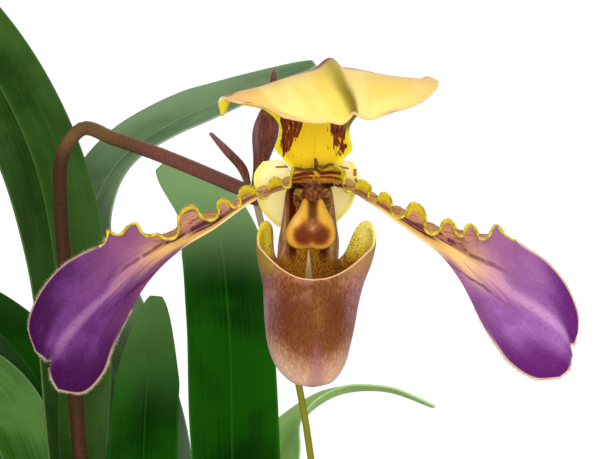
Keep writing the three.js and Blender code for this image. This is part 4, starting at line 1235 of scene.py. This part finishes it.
def column_look():
    look = Look("column", roughness=0.6, specular_ior_level=0.1)
    place = look.place(FLOWER)
    x, y, z = look.parts(place)
    grain = look.noise(look.vector(x * 1.6, y * 1.6, z * 0.9), 1.0, 4)
    lobe = look.step(abs(x + 0.5), 1.9, 2.6) * look.step(z, -1.6, -2.4)
    base = look.paint(look.mix("8A4A1C", "5A240A", look.step(grain, 0.4, 0.6)), [
        (look.mix("8E6C1A", "5E340A", look.step(grain, 0.42, 0.6)), lobe),
        ("3A1608", look.step(look.cells(place, 1.5), 0.34, 0.22) * lobe * 0.75),
        # Nearly black at the column's top under the petals' feet: partly its own dark colour, partly
        # painted shade.
        ("2E0606", look.step(abs(x + 0.3), 1.2, 1.8) * look.step(z, -2.3, -1.9)),
    ])
    return look.set(base, relief=grain, depth=0.5)


def pollen_look():
    look = Look("pollen", roughness=0.5, specular_ior_level=0.1)
    speck = look.step(look.noise(look.place(), 1.4, 2), 0.4, 0.6)
    return look.set(look.mix("54220A", "341004", speck))


def brown_hair_look():
    look = Look("brown_hair", roughness=0.5)
    # The palest tone stands for painted glints of light on the fuzz.
    tones = [(0.35, "3E1404"), (0.5, "7C3C14"), (0.62, "A06A2C"), (0.7, "DCA88C")]
    return look.set(look.ramp(look.noise(look.place(), 1.1, 2), tones))


def column_hair_roots():
    """Roots down the front of the column and over its lobes."""
    draw = random.Random(41)
    front = []
    for _ in range(1300):
        z = draw.uniform(-5.4, -0.4)
        at = FLOWER + Vector((draw.gauss(0, 1.3 + 0.12 * z) - 0.3, -6.4 + draw.uniform(-0.2, 0.6), z))
        front.append((at, Vector((draw.uniform(-0.6, 0.6), -1, draw.uniform(-0.6, 0.4)))))
    for _ in range(500):
        lobe = draw.choice(LOBES)
        out = Vector((draw.uniform(-0.9, 0.9), -1, draw.uniform(-0.6, 1))).normalized()
        at = FLOWER + Vector((lobe + out.x * 1.3, -4.9 + out.y * 1.35, -4.4 + out.z * 2.5))
        front.append((at, out + Vector((0, 0, -0.5))))
    beside = []
    for _ in range(700):
        side = draw.choice((-1, 1))
        at = FLOWER + Vector((-0.3 + side * draw.uniform(1.4, 4.9), -4.4, draw.uniform(-1.5, -0.7)))
        beside.append((at, Vector((side * 0.2, -1, -0.9))))
    for _ in range(46):
        at = FLOWER + Vector((draw.uniform(4.9, 7.6), -3.6, draw.uniform(-1.5, -1)))
        beside.append((at, Vector((0.5, -0.5, -1))))
    return front, beside


def make_column():
    bm = bmesh.new()
    add_ball(bm, FLOWER + Vector((-0.2, -2.2, -2.8)), (4.6, 3.6, 2.2), turn=(0.4, 0, 0), segments=32)
    add_ball(bm, FLOWER + Vector((-0.4, -4.6, -4)), (2.3, 2.4, 2.8), turn=(0.5, 0, 0), segments=28)
    for x in LOBES:
        add_ball(bm, FLOWER + Vector((x, -4.9, -4.4)), (1.35, 1.4, 2.6), turn=(0.3, 0, 0), segments=20)
    finish_piece("flower_column", bm, [column_look()], ["column"])
    bm = bmesh.new()
    for x in POLLEN:
        add_ball(bm, FLOWER + Vector((x, -6.1, -4.9)), (0.75, 0.5, 0.65), segments=16)
    finish_piece("pollen_masses", bm, [pollen_look()])
    front, beside = column_hair_roots()
    brown = brown_hair_look()
    make_fur("column_hair", front, length=0.9, width=0.13, look=brown, seed=42, lean=0.4)
    # These dark hairs are partly the column's own and partly painted shade under the petals' feet.
    dark = Look("dark_hair", roughness=0.6, specular_ior_level=0.1, base_color=colour("2E0806"))
    make_fur(
        "column_dark_hair", beside, length=1.0, width=0.13, look=dark, seed=43, lean=0.3
    )


# Stalk, bud and cane
LEAF_FOOT = 92.3
STALK_PATH = [
    (-34, 8, LEAF_FOOT), (-34.3, 8, 125), (-37, 8.2, 170), (-41, 7, 206), (-44.5, 5, 244), (-48, 5, 290),
    (-50.3, 5, 318), (-49.6, 4.5, 331), (-44, 2, 338.5), (-34, -9, 335.5), (-19, -25, 330), (-7, -37, 325),
    (1.5, -46.5, 321.3), tuple(NODE),
]
CANE_PATH = [
    (33, -17, LEAF_FOOT), (33, -17, 108), (29, -26, 160), (25, -37, 215), (21.3, -45, 250),
    (18.4, -46.5, 268), (11.6, -48.6, 298), (7, -51.4, 317.5),
]


STALK_RADIUS = 2.3
STALK_END_RADIUS = 1.9
CANE_RADIUS = 0.9
BRACT_WALL = 0.7


def fur_on(surface, count, seed, low=0.0, high=1.0):
    """Roots that stand straight out all round a stem."""
    draw = random.Random(seed)
    roots = []
    for _ in range(count):
        u, v = draw.random(), draw.uniform(low, high)
        middle = (surface(u, v) + surface((u + 0.5) % 1, v)) / 2
        at = surface(u, v)
        roots.append((at, (at - middle).normalized()))
    return roots


def stalk_look():
    look = Look("stalk", roughness=0.6, specular_ior_level=0.12)
    place = look.place()
    x, y, z = look.parts(place)
    streak = look.noise(look.vector(x * 0.8, y * 0.8, z * 0.06), 1.0, 4)
    fleck = look.noise(place, 1.4, 3)
    base = look.paint(look.mix("2E1806", "46280E", streak), [
        ("7A5A34", look.step(z, 328, 338) * 0.7),
        ("7C4A3E", look.step(x, -32, -18) * 0.75),
        ("564A18", look.step(z, 260, 130) * 0.7),
        ("2E1A12", look.step(fleck, 0.56, 0.7) * 0.6),
    ])
    return look.set(base, relief=fleck, depth=0.15)


def make_stalk():
    bm, surface = tube(
        STALK_PATH, lambda angle, v: mix(STALK_RADIUS, STALK_END_RADIUS, v), sides=20, steps=170
    )
    add_ball(bm, NODE, (3.1, 3.1, 2.8), segments=28)
    finish_piece("flower_stalk", bm, [stalk_look()], ["peduncle"])
    down = Look("stalk_hair", roughness=0.6, specular_ior_level=0.1, base_color=colour("7A6450"))
    roots = fur_on(surface, 5200, 51, 0.1)
    make_fur("stalk_hair", roots, length=0.5, width=0.06, look=down, seed=52)


def ovary_look():
    """Green ribs with brown flecks."""
    look = Look("ovary", roughness=0.6, specular_ior_level=0.12)
    u = look.chart()[0]
    rib = look.node("ShaderNodeMath", {"operation": "COSINE"}, {0: u * (12 * math.pi)})
    fleck = look.noise(look.place(FLOWER), 1.2, 3)
    base = look.mix("4C4A1C", "8A8440", look.step(rib, -0.4, 0.6))
    base = look.mix(base, "5A2C22", look.step(fleck, 0.5, 0.66) * 0.7)
    return look.set(base, relief=fleck, depth=0.15)


def make_ovary():
    bends = [Vector((-9.5, 21, -1.2)), Vector((-3.6, 9.5, -0.3)), Vector((0, 4.4, 0))]

    def radius(angle, v):
        return mix(1.7, 2.5, math.sin(v * math.pi * 0.8)) * (1 + 0.07 * math.cos(angle * 6))

    bm, surface = tube([NODE] + [FLOWER + bend for bend in bends], radius, sides=36, steps=44)
    add_ball(bm, FLOWER + Vector((0, 4.2, 0)), (3.4, 2.2, 3.4), segments=28)
    finish_piece("seed_case", bm, [ovary_look()], ["ovary"])
    down = Look("ovary_hair", roughness=0.6, base_color=colour("8A6A60"))
    roots = fur_on(surface, 1500, 61)
    make_fur("ovary_hair", roots, length=0.8, width=0.08, look=down, seed=62)


BUD_PATH = [
    NODE + Vector((0.3, 0, 0.5)), (8.6, -52, 329), (10, -52, 337), (11.3, -52, 345), (11.9, -52, 351.5),
]
BRACT_ROWS = [
    [(5.4, -53.6, 321.6), (4.4, -51.5, 322), (5.6, -49.6, 321.6)],
    [(4.6, -54.4, 326), (2.6, -51.8, 325.6), (4.6, -49.4, 326)],
    [(0.6, -54, 330.6), (-1.2, -52, 330), (0.6, -50, 330.6)],
    [(-4.6, -52.3, 335.2), (-5, -52, 335), (-4.6, -51.7, 335.2)],
]


def bud_look():
    look = Look("bud", roughness=0.6, specular_ior_level=0.15)
    x, y, z = look.parts(look.place(NODE))
    streak = look.noise(look.vector(x * 1.2, y * 1.2, z * 0.1), 1.0, 4)
    base = look.paint(look.mix("562A1E", "7A4232", look.step(streak, 0.4, 0.66)), [
        # Painted highlight: a purple-grey gloss on the bud's left side.
        ("8E727A", look.step(z, 8, 14) * look.step(z, 24, 18) * look.step(x, 1.6, 0.2) * 0.35),
        ("6E6A28", look.step(z, 6, 1) * 0.8),
    ])
    return look.set(base, relief=streak, depth=0.2)


def make_bud():
    """The bud and the thin bract beside it."""
    look = bud_look()

    def radius(angle, v):
        swell = 0.8 + 2.3 * math.exp(-(((v - 0.5) / 0.22) ** 2)) + 0.9 * (1 - v) ** 2
        return swell * (1 + 0.06 * math.cos(angle * 3)) * (1 - 0.6 * smooth(0.93, 1, v))

    bm, surface = tube(BUD_PATH, radius, sides=30, steps=60)
    finish_piece("flower_bud", bm, [look], ["bud"])
    bm = sheet(Net(BRACT_ROWS, origin=Vector()), columns=16, rows=32)
    thicken(finish_piece("bract", bm, [look], ["floral_bract"]), BRACT_WALL)
    down = Look("bud_hair", roughness=0.6, base_color=colour("A8868A"))
    roots = fur_on(surface, 1600, 71)
    make_fur("bud_hair", roots, length=0.6, width=0.07, look=down, seed=72)


def cane_look():
    look = Look("cane", roughness=0.55, specular_ior_level=0.15)
    u, v = look.chart()
    streak = look.noise(look.vector(u * 9, v * 30), 1.0, 4)
    base = look.paint(look.mix("827C12", "66620C", streak), [
        ("5A4A1A", look.band(v * 9.5, 5.0, 0.02, 0.06)),
        ("A8967A", look.step(look.parts(look.place())[2], 272, 300) * 0.8),
    ])
    return look.set(base, relief=streak, depth=0.15)


def make_cane():
    bm = tube(CANE_PATH, lambda angle, v: CANE_RADIUS, sides=16, steps=120)[0]
    finish_piece("support_cane", bm, [cane_look()], ["stake"])


# Leaves. points run from the foot to the tip; face is the way the upper side looks at the tip.
GROWTH_A = {"centre": (-34, 8), "fan": (1, -0.25), "core": 3.6, "leaves": 5}
GROWTH_B = {"centre": (4, 36), "fan": (1, 0.15), "core": 1.2, "leaves": 7}
SHEATH_STEP = 1.9
SHEATH_ARM = 13
SHEATH_LENGTH = 26
SHEATH_GAIN = 7
OUTERMOST = 7
KEEL_GAP = 1.2
KNEE_RISE = 14
KNEE_LEAN = 1.5
OPENING_LENGTH = 62
LEAF_WALL = 1.2
MIX_TOP = 104
# Name, growth, side, order from the heart outwards, half width, face, points
LEAVES = [
    (
        "a_front_left", GROWTH_A, -1, 5, 17, (0.3, 0.1, 1),
        [(-66, 16, 148), (-92, 4, 188), (-122, -24, 200), (-154, -58, 180)],
    ),
    (
        "a_front_right", GROWTH_A, 1, 4, 16, (0.1, 0.4, 1),
        [(-6, 1, 148), (8, -34, 190), (8, -74, 203), (6, -116, 178)],
    ),
    (
        "a_low_left", GROWTH_A, -1, 3, 18, (0.1, -0.45, 1),
        [(-51, 12.5, 158), (-64, 34, 218), (-87, 53, 261), (-121, 60, 270), (-164, 62, 246)],
    ),
    (
        "a_upright", GROWTH_A, 1, 2, 11, (0, -1, 0.2),
        [(-27, 6.3, 158), (-28.5, 26, 215), (-28, 34, 258), (-25, 36, 290)],
    ),
    (
        "a_tall_left", GROWTH_A, -1, 1, 16, (0.62, -0.75, 0.3),
        [
            (-44, 10.5, 172), (-52, 18, 235), (-54.5, 25, 300), (-63, 30, 335), (-82, 32, 368),
            (-112, 34, 396), (-150, 36, 408),
        ],
    ),
    (
        "b_front_right", GROWTH_B, 1, 7, 17, (-0.1, 0.3, 1),
        [(38, 40, 146), (56, 18, 180), (82, -14, 194), (118, -42, 172)],
    ),
    (
        "b_back_left", GROWTH_B, -1, 6, 16, (0.2, -0.5, 1),
        [(-26, 31.5, 150), (-46, 64, 212), (-70, 82, 266), (-100, 90, 287), (-142, 94, 272)],
    ),
    (
        "b_right", GROWTH_B, 1, 5, 17, (-0.3, -0.1, 1),
        [(30, 40, 156), (52, 44, 206), (88, 44, 222), (132, 40, 196)],
    ),
    (
        "b_tall_left", GROWTH_B, -1, 4, 16, (-0.4, -0.5, 0.85),
        [
            (-10, 34, 160), (-23, 48, 215), (-41, 55, 270), (-48, 56, 302), (-44, 56, 321), (-36, 56, 333),
            (-22, 56, 342.5), (-6.5, 56, 349.5), (8, 56, 355.5), (23, 57, 361.5),
        ],
    ),
    (
        "b_back_right", GROWTH_B, 1, 3, 16, (-0.2, -0.3, 1),
        [(19, 38.4, 162), (32, 72, 205), (58, 98, 212), (100, 120, 186)],
    ),
    (
        "b_upright", GROWTH_B, -1, 2, 13.5, (0.1, -1, 0.1),
        [(-1.5, 35.2, 162), (-2, 28, 228), (-3, 25, 285), (-8, 25, 314), (-23, 25, 329)],
    ),
    (
        "b_slim_back", GROWTH_B, 1, 1, 10, (0, 0.1, 1),
        [(8.5, 36.8, 162), (8, 60, 212), (14, 80, 243), (28, 86, 256), (45, 88, 258), (62, 90, 252)],
    ),
]
# Deep, middle and bright green for each kind of leaf: copies of one green, painted lighter or darker as
# light falls on each leaf
LEAF_TINTS = {
    "dark": ("0A3202", "164604", "386420"),
    "heart": ("042800", "0E4600", "24600A"),
    "inner": ("042800", "0E4600", "24600A"),
    "shade": ("1A360A", "30501A", "50703A"),
    "light": ("2C5614", "56843A", "80A864"),
    "grey": ("54704A", "728C62", "94AA8A"),
    "backlit": ("86B45A", "A2CC74", "BEDE92"),
}
# Painted highlight that pales a leaf towards its tip: heights and colour
TIP_HIGHLIGHTS = {"heart": (292, 326, "7C9C66"), "inner": (250, 296, "54783E")}
LEAF_KINDS = {
    "a_tall_left": "shade", "b_tall_left": "grey", "b_slim_back": "backlit", "a_low_left": "light",
    "b_right": "light", "b_upright": "heart", "a_upright": "inner",
}


def leaf_surface(growth, side, order, width, face, points):
    """A folded sheath at the foot of the fan, which opens into a strap above it."""
    outward = Vector((*growth["fan"], 0)).normalized() * side
    inward = -outward
    beside = Vector((0, 0, 1)).cross(inward)
    offset = growth["core"] + (order - 1) * SHEATH_STEP
    keel = Vector((*growth["centre"], LEAF_FOOT)) + outward * (offset + KEEL_GAP)
    knee = Vector((keel.x, keel.y, MIX_TOP + KNEE_RISE)) + outward * KNEE_LEAN
    bend = Bend([keel, knee, *points])
    open_from = (SHEATH_LENGTH + SHEATH_GAIN * (OUTERMOST - order)) / bend.length
    open_to = open_from + OPENING_LENGTH / bend.length
    arm = min(SHEATH_ARM, 2 * offset + 2)
    tip_face = Vector(face).normalized()
    stations = {}

    def station(v):
        at = bend.at(v)
        heading = bend.heading(v)
        facing = inward.lerp(tip_face, smooth(open_from, 0.75, v))
        crosswise = heading.cross(facing).normalized()
        if crosswise.dot(beside) < 0 and v < open_from:
            crosswise.negate()
        return at, crosswise, crosswise.cross(heading).normalized()

    def surface(u, v):
        if v not in stations:
            stations[v] = station(v)
        at, crosswise, upward = stations[v]
        opened = smooth(open_from, open_to, v)
        span = 2 * u - 1
        away = abs(span)
        taper = math.sqrt(clamp((1.004 - v) / 0.13)) * smooth(-0.25, 0.5, v)
        half = max(0.3, width * min(1, taper) * mix(1, 0.86, smooth(0.6, 1, v)))
        fold = mix(0.5, 0.14, smooth(open_to, 0.9, v))
        wrapped = offset * math.sin(min(1, away / 0.34) * math.pi / 2)
        sideways = mix(wrapped, half * away, opened)
        rise = mix(arm * away ** 1.3, half * fold * away ** 1.2, opened)
        groove = -0.5 * math.exp(-((away / 0.05) ** 2)) * opened * smooth(1, 0.9, v)
        ripple = 0.5 * away ** 2 * math.sin(v * 23 + order * 2) * opened
        return at + crosswise * math.copysign(sideways, span) + upward * (rise + groove + ripple)

    return surface


def leaf_look(kind, side):
    deep, middle, bright = LEAF_TINTS[kind]
    look = Look(
        f"leaf_{kind}_{side}", roughness=0.5 if side == "upper" else 0.6, specular_ior_level=0.02
    )
    u, v = look.chart()
    place = look.place()
    veins = look.noise(look.vector(u * 46, v * 2.2), 1.0, 3)
    fine = look.noise(look.vector(u * 150, v * 5), 1.0, 2)
    cloud = look.noise(place, 0.035, 3, 0.6)
    green = look.mix(deep, middle, look.step(cloud + (veins - 0.5) * 0.28, 0.36, 0.64))
    coats = [(bright, look.step(abs(u - 0.5), 0.1, 0.5) * 0.2)]
    if side == "under":
        coats.append((bright, 0.45))
    coats.append((bright, look.band(u, 0.5, 0.004, 0.02) * 0.4))
    coats.append((bright, look.step(look.margin(), 0.8, 0.2) * 0.7))
    # Painted highlight, paler towards the tip.
    if kind in TIP_HIGHLIGHTS:
        low, high, pale = TIP_HIGHLIGHTS[kind]
        coats.append((pale, look.step(look.parts(place)[2], low, high) * 0.9))
    foot = look.step(v, 0.22, 0.08)
    blotch = look.step(look.noise(place, 0.5, 4), 0.5, 0.62)
    coats.append(("9AA65C", foot * 0.6))
    coats.append(("5A2E3A", foot * blotch * 0.55))
    return look.set(look.paint(green, coats), relief=veins + fine * 0.4, depth=0.25, strength=0.35)


def make_leaves():
    looks = {kind: [leaf_look(kind, side) for side in ("upper", "under")] for kind in LEAF_TINTS}
    for name, growth, side, order, width, face, points in LEAVES:
        bm = sheet(
            leaf_surface(growth, side, order, width, face, points), columns=24, rows=84,
            along=lambda v: mix(v, math.sin(v * math.pi / 2), 0.5),
            thickness=lambda u, v: 1 - 0.5 * abs(2 * u - 1) ** 2,
        )
        kind = LEAF_KINDS.get(name, "dark")
        piece = finish_piece(f"strap_{name}", bm, looks[kind], [f"leaf_{name}"])
        thicken(piece, LEAF_WALL, inner=1, thin=0.0)


# Pot and bark mix
POT_HEIGHT = 118
POT_BASE = 46
POT_NECK = 58
POT_RIM = 65
POT_RIM_HEIGHT = 24
POT_WALL = 5
POT_FLOOR = 7
DRAINS = 4
DRAIN_RADIUS = 5
DRAIN_RING = 26
MIX_CROWN = 3
MIX_REACH = POT_RIM - POT_WALL - 3.2
# Half the bed's section, as radius and height
MIX_BED = [
    (0, 98), (20, 98), (40, 97.5), (MIX_REACH, 96), (MIX_REACH - 1, 90), (30, 84), (0, 84),
]
CHIP_SHAPES = 8
CHIP_TILT = 0.45
# Chips in the lower and the upper layer
CHIP_LAYERS = (190, 170)
PERLITE_GRAINS = 46
PERLITE_SEED = 82
MOSS_STRANDS = 420
# Middle and spread of each tuft of moss
MOSS_SPOTS = [(30, -34, 9), (-6, -38, 7), (46, 10, 6), (-44, -22, 6), (-28, 42, 7)]


def pot_look():
    look = Look("clay", roughness=0.85, specular_ior_level=0.25)
    place = look.place()
    x, y, z = look.parts(place)
    turning = look.noise(look.vector(x * 0.02, y * 0.02, z * 1.4), 1.0, 3)
    grain = look.noise(place, 1.6, 4)
    cloud = look.noise(place, 0.05, 4, 0.5)
    lime = cloud + (grain - 0.5) * 0.5 + look.step(z, 60, 10) * 0.12 + look.step(z, 96, 118) * 0.1
    algae = look.step(look.noise(place, 0.07, 3) + look.step(z, 40, 0) * 0.15, 0.62, 0.76)
    base = look.paint(look.mix("B5673F", "9C5230", cloud), [
        ("C98058", look.step(grain, 0.55, 0.75) * 0.5),
        ("DCC4AC", look.step(lime, 0.56, 0.72) * 0.6),
        ("7C7A4A", algae * 0.35),
        ("7A4226", look.step(look.noise(place, 0.9, 2), 0.68, 0.74) * 0.6),
    ])
    return look.set(base, relief=turning * 1.5 + grain, depth=0.5, strength=0.6)


def pot_profile():
    """Half the pot's section, from the middle of its base round the rim to the middle of its floor."""
    neck = POT_HEIGHT - POT_RIM_HEIGHT
    slope = (POT_NECK - POT_BASE) / neck
    inner = POT_RIM - POT_WALL - 1
    foot = POT_BASE - POT_WALL
    return [
        (0, 0), (POT_BASE - 6, 0.4), (POT_BASE - 2.4, 0), (POT_BASE - 0.7, 0.7), (POT_BASE, 2.4),
        (mix(POT_BASE, POT_NECK, 0.33), neck * 0.33), (mix(POT_BASE, POT_NECK, 0.66), neck * 0.66),
        (POT_NECK - 0.2, neck - 2), (POT_NECK + 1, neck - 0.4), (POT_RIM - 3, neck),
        (POT_RIM - 1.2, neck + 0.8), (POT_RIM - 0.6, neck + 2.4), (POT_RIM - 0.3, neck + 12),
        (POT_RIM, POT_HEIGHT - 3), (POT_RIM - 0.8, POT_HEIGHT - 0.8), (POT_RIM - 2.6, POT_HEIGHT),
        (inner + 1.8, POT_HEIGHT), (inner + 0.5, POT_HEIGHT - 0.7), (inner, POT_HEIGHT - 2.4),
        (foot + slope * POT_FLOOR + 1, POT_FLOOR + 3), (foot - 2, POT_FLOOR), (0, POT_FLOOR),
    ]


def make_pot():
    bm = turned(pot_profile(), steps=120)
    piece = finish_piece("clay_pot", bm, [pot_look()], ["pot"])
    drill = bmesh.new()
    for i in range(DRAINS):
        angle = (i + 0.5) / DRAINS * 2 * math.pi
        place = Vector((DRAIN_RING * math.cos(angle), DRAIN_RING * math.sin(angle), POT_FLOOR / 2))
        bmesh.ops.create_cone(
            drill, segments=32, radius1=DRAIN_RADIUS, radius2=DRAIN_RADIUS, depth=POT_FLOOR * 3,
            cap_ends=True, matrix=Matrix.Translation(place),
        )
    bore(piece, drill)


def bore(piece, drill):
    """Cuts closed shapes out of a piece."""
    bmesh.ops.scale(drill, vec=(MM, MM, MM), verts=drill.verts)
    tool = add_object("drill", new_mesh("drill", drill))
    cut = piece.modifiers.new("bore", "BOOLEAN")
    cut.object = tool
    cut.operation = "DIFFERENCE"
    cut.solver = "EXACT"
    bpy.context.view_layer.update()
    graph = bpy.context.evaluated_depsgraph_get()
    bored = bpy.data.meshes.new_from_object(piece.evaluated_get(graph))
    piece.modifiers.clear()
    piece.data = bored
    bpy.data.objects.remove(tool)


def bark_look(name, dark, warm, pale):
    look = Look(name, roughness=0.9, specular_ior_level=0.2)
    place = look.place()
    flake = look.noise(look.vector(*[part * 0.25 for part in look.parts(place)]), 1.0, 5, 1.2)
    fleck = look.noise(place, 0.9, 4)
    base = look.mix(dark, warm, look.step(flake, 0.36, 0.62))
    base = look.mix(base, pale, look.step(fleck, 0.56, 0.72) * 0.7)
    return look.set(base, relief=flake + fleck, depth=1.0, strength=0.8)


def make_chip(draw):
    """One lump of bark, about as large as one unit."""
    bm = bmesh.new()
    bmesh.ops.create_cube(bm, size=1)
    bmesh.ops.bevel(
        bm, geom=bm.edges, offset=0.12, offset_type="OFFSET", segments=1, profile=0.5,
        affect="EDGES", material=-1,
    )
    long_edges = [edge for edge in bm.edges if edge.calc_length() > 0.5]
    bmesh.ops.subdivide_edges(bm, edges=long_edges, cuts=1, use_grid_fill=True)
    for vert in bm.verts:
        vert.co += Vector((draw.uniform(-1, 1), draw.uniform(-1, 1), draw.uniform(-1, 1))) * 0.07
        vert.co.x += 0.16 * vert.co.y * draw.uniform(0.6, 1)
    return new_mesh("chip", bm)


def mix_height(radius):
    """The top of the mix, which is lower towards the pot's wall."""
    share = radius / MIX_REACH
    shoulder = MIX_TOP + MIX_CROWN * 0.7
    if share < 0.6:
        return mix(MIX_TOP + MIX_CROWN, shoulder, share / 0.6)
    return mix(shoulder, MIX_TOP, (share - 0.6) / 0.4)


def near_a_fan(x, y, room):
    for growth in (GROWTH_A, GROWTH_B):
        reach = growth["core"] + growth["leaves"] * SHEATH_STEP + room
        if math.hypot(x - growth["centre"][0], y - growth["centre"][1]) < reach:
            return True
    return False


def spot_within(draw, reach):
    """A place as likely anywhere within reach of the middle, as radius, x and y."""
    radius = reach * math.sqrt(draw.random())
    angle = draw.uniform(0, 2 * math.pi)
    return radius, radius * math.cos(angle), radius * math.sin(angle)


def make_chips(draw):
    """Brown and red bark chips, each kind in two layers."""
    looks = [
        bark_look("bark_brown", "3A2212", "6A4428", "9A7450"),
        bark_look("bark_red", "42200F", "7C4A2C", "B08A64"),
    ]
    shapes = [make_chip(draw) for _ in range(CHIP_SHAPES)]
    for part, look in enumerate(looks):
        bm = bmesh.new()
        for layer, count in enumerate(CHIP_LAYERS):
            for _ in range(count):
                radius, x, y = spot_within(draw, MIX_REACH - 5)
                if near_a_fan(x, y, 1.5 if layer else -3):
                    continue
                size = Vector((draw.uniform(7, 15), draw.uniform(5, 9), draw.uniform(2.5, 5)))
                tilt = [draw.uniform(-CHIP_TILT, CHIP_TILT) for _ in range(2)]
                turn = Euler((*tilt, draw.uniform(0, 2 * math.pi)))
                height = mix_height(radius) - 4.5 + layer * 4.2 + draw.uniform(-0.8, 0.8)
                matrix = Matrix.LocRotScale(Vector((x, y, height)), turn, size)
                scatter(bm, draw.choice(shapes), [matrix])
        finish_piece(f"bark_chips_{part}", bm, [look])


def make_perlite(draw):
    look = Look("perlite", roughness=0.9)
    white = look.mix("F2EFE6", "D8D2C4", look.noise(look.place(), 1.1, 3))
    look.set(white, relief=look.noise(look.place(), 2, 3), depth=0.4)
    bm = bmesh.new()
    for _ in range(PERLITE_GRAINS):
        radius, x, y = spot_within(draw, MIX_REACH - 3)
        if near_a_fan(x, y, 2):
            continue
        size = draw.uniform(1.1, 2.2)
        at = Vector((x, y, mix_height(radius) + 1.2))
        turn = Euler((draw.random() * 3, draw.random() * 3, 0))
        matrix = Matrix.LocRotScale(at, turn, Vector((size, size * 0.8, size * 0.7)))
        bmesh.ops.create_icosphere(bm, subdivisions=2, radius=1, matrix=matrix)
    noise.seed_set(PERLITE_SEED)
    for vert in bm.verts:
        vert.co += noise.noise_vector(vert.co * 0.9) * 0.35
    finish_piece("perlite", bm, [look])


def make_moss(draw):
    look = Look("moss", roughness=0.95, sheen_weight=0.3)
    green = look.mix("3E5A14", "7E9A34", look.noise(look.place(), 0.8, 4))
    look.set(green, relief=look.noise(look.place(), 2.4, 4), depth=0.8)
    roots = []
    for middle_x, middle_y, spread in MOSS_SPOTS:
        for _ in range(MOSS_STRANDS):
            x, y = draw.gauss(middle_x, spread * 0.5), draw.gauss(middle_y, spread * 0.5)
            radius = math.hypot(x, y)
            if radius > MIX_REACH - 1 or near_a_fan(x, y, 1):
                continue
            height = mix_height(radius) + 0.8 + draw.uniform(-0.6, 1.2)
            roots.append((Vector((x, y, height)), Vector((0, 0, 1))))
    make_fur("moss_tufts", roots, length=2.4, width=0.5, look=look, seed=91, lean=0.6)


def make_mix():
    look = bark_look("bed", "24160C", "3A2414", "5A4028")
    finish_piece("mix_bed", turned(MIX_BED, steps=64), [look], ["potting_mix"])
    draw = random.Random(81)
    make_chips(draw)
    make_perlite(draw)
    make_moss(draw)


# Room
CAMERA_PLACE = (20.05, -602, 309.95)
CAMERA_LENS = 124.7
CAMERA_SENSOR = 36
CAMERA_NEAR = 0.01
CAMERA_FAR = 50
FLOOR_RADIUS = 1.6
# The sky's strength as a light, and as the camera sees it
SKY_LIGHT = 0.55
SKY_SEEN = 1.05
LAMP_TARGET = Vector((0.01, -0.03, 0.3))
# Name, place and width in metres, and power in watts
LAMPS = [
    ("window", (-0.55, -1.5, 1.0), 0.8, 8),
    ("front", (0.12, -1.6, 0.2), 1.2, 18),
    ("side", (0.9, -1.1, 0.4), 1.0, 5),
    ("back", (0.3, 1.2, 1.2), 1.0, 8),
]


def make_camera():
    camera = bpy.data.cameras.new("camera")
    camera.lens = CAMERA_LENS
    camera.sensor_width = CAMERA_SENSOR
    camera.clip_start = CAMERA_NEAR
    camera.clip_end = CAMERA_FAR
    holder = add_object("camera", camera)
    holder.location = Vector(CAMERA_PLACE) * MM
    holder.rotation_euler = (math.pi / 2, 0, 0)
    bpy.context.scene.camera = holder


def make_lamps():
    for name, place, width, power in LAMPS:
        lamp = bpy.data.lights.new(name, "AREA")
        lamp.size = width
        lamp.energy = power
        holder = add_object(name, lamp)
        holder.location = place
        holder.rotation_euler = (Vector(place) - LAMP_TARGET).to_track_quat("Z", "Y").to_euler()


def make_sky():
    """A white sky that lights less than it shows."""
    world = bpy.data.worlds.new("daylight")
    world.use_nodes = True
    bpy.context.scene.world = world
    nodes, links = world.node_tree.nodes, world.node_tree.links
    sky = next(node for node in nodes if node.type == "BACKGROUND")
    sky.inputs["Color"].default_value = (1, 1, 1, 1)
    seen = nodes.new("ShaderNodeLightPath")
    strength = nodes.new("ShaderNodeMapRange")
    strength.inputs["To Min"].default_value = SKY_LIGHT
    strength.inputs["To Max"].default_value = SKY_SEEN
    links.new(seen.outputs["Is Camera Ray"], strength.inputs["Value"])
    links.new(strength.outputs[0], sky.inputs["Strength"])


def make_floor():
    bm = bmesh.new()
    bmesh.ops.create_circle(bm, cap_ends=True, segments=96, radius=FLOOR_RADIUS)
    look = Look("floor", roughness=0.8)
    look.set(look.mix("F0EFEC", "ECEBE8", look.noise(look.place(), 0.01, 2)))
    mesh = new_mesh("floor", bm)
    mesh.materials.append(look.material)
    floor = add_object("floor", mesh)


make_camera()
make_floor()
make_sky()
make_lamps()
bpy.context.scene.view_settings.view_transform = "Standard"
make_petals()
make_hood()
make_lower_sepals()
make_pouch()
make_shield()
make_column()
make_stalk()
make_ovary()
make_bud()
make_cane()
make_leaves()
make_pot()
make_mix()
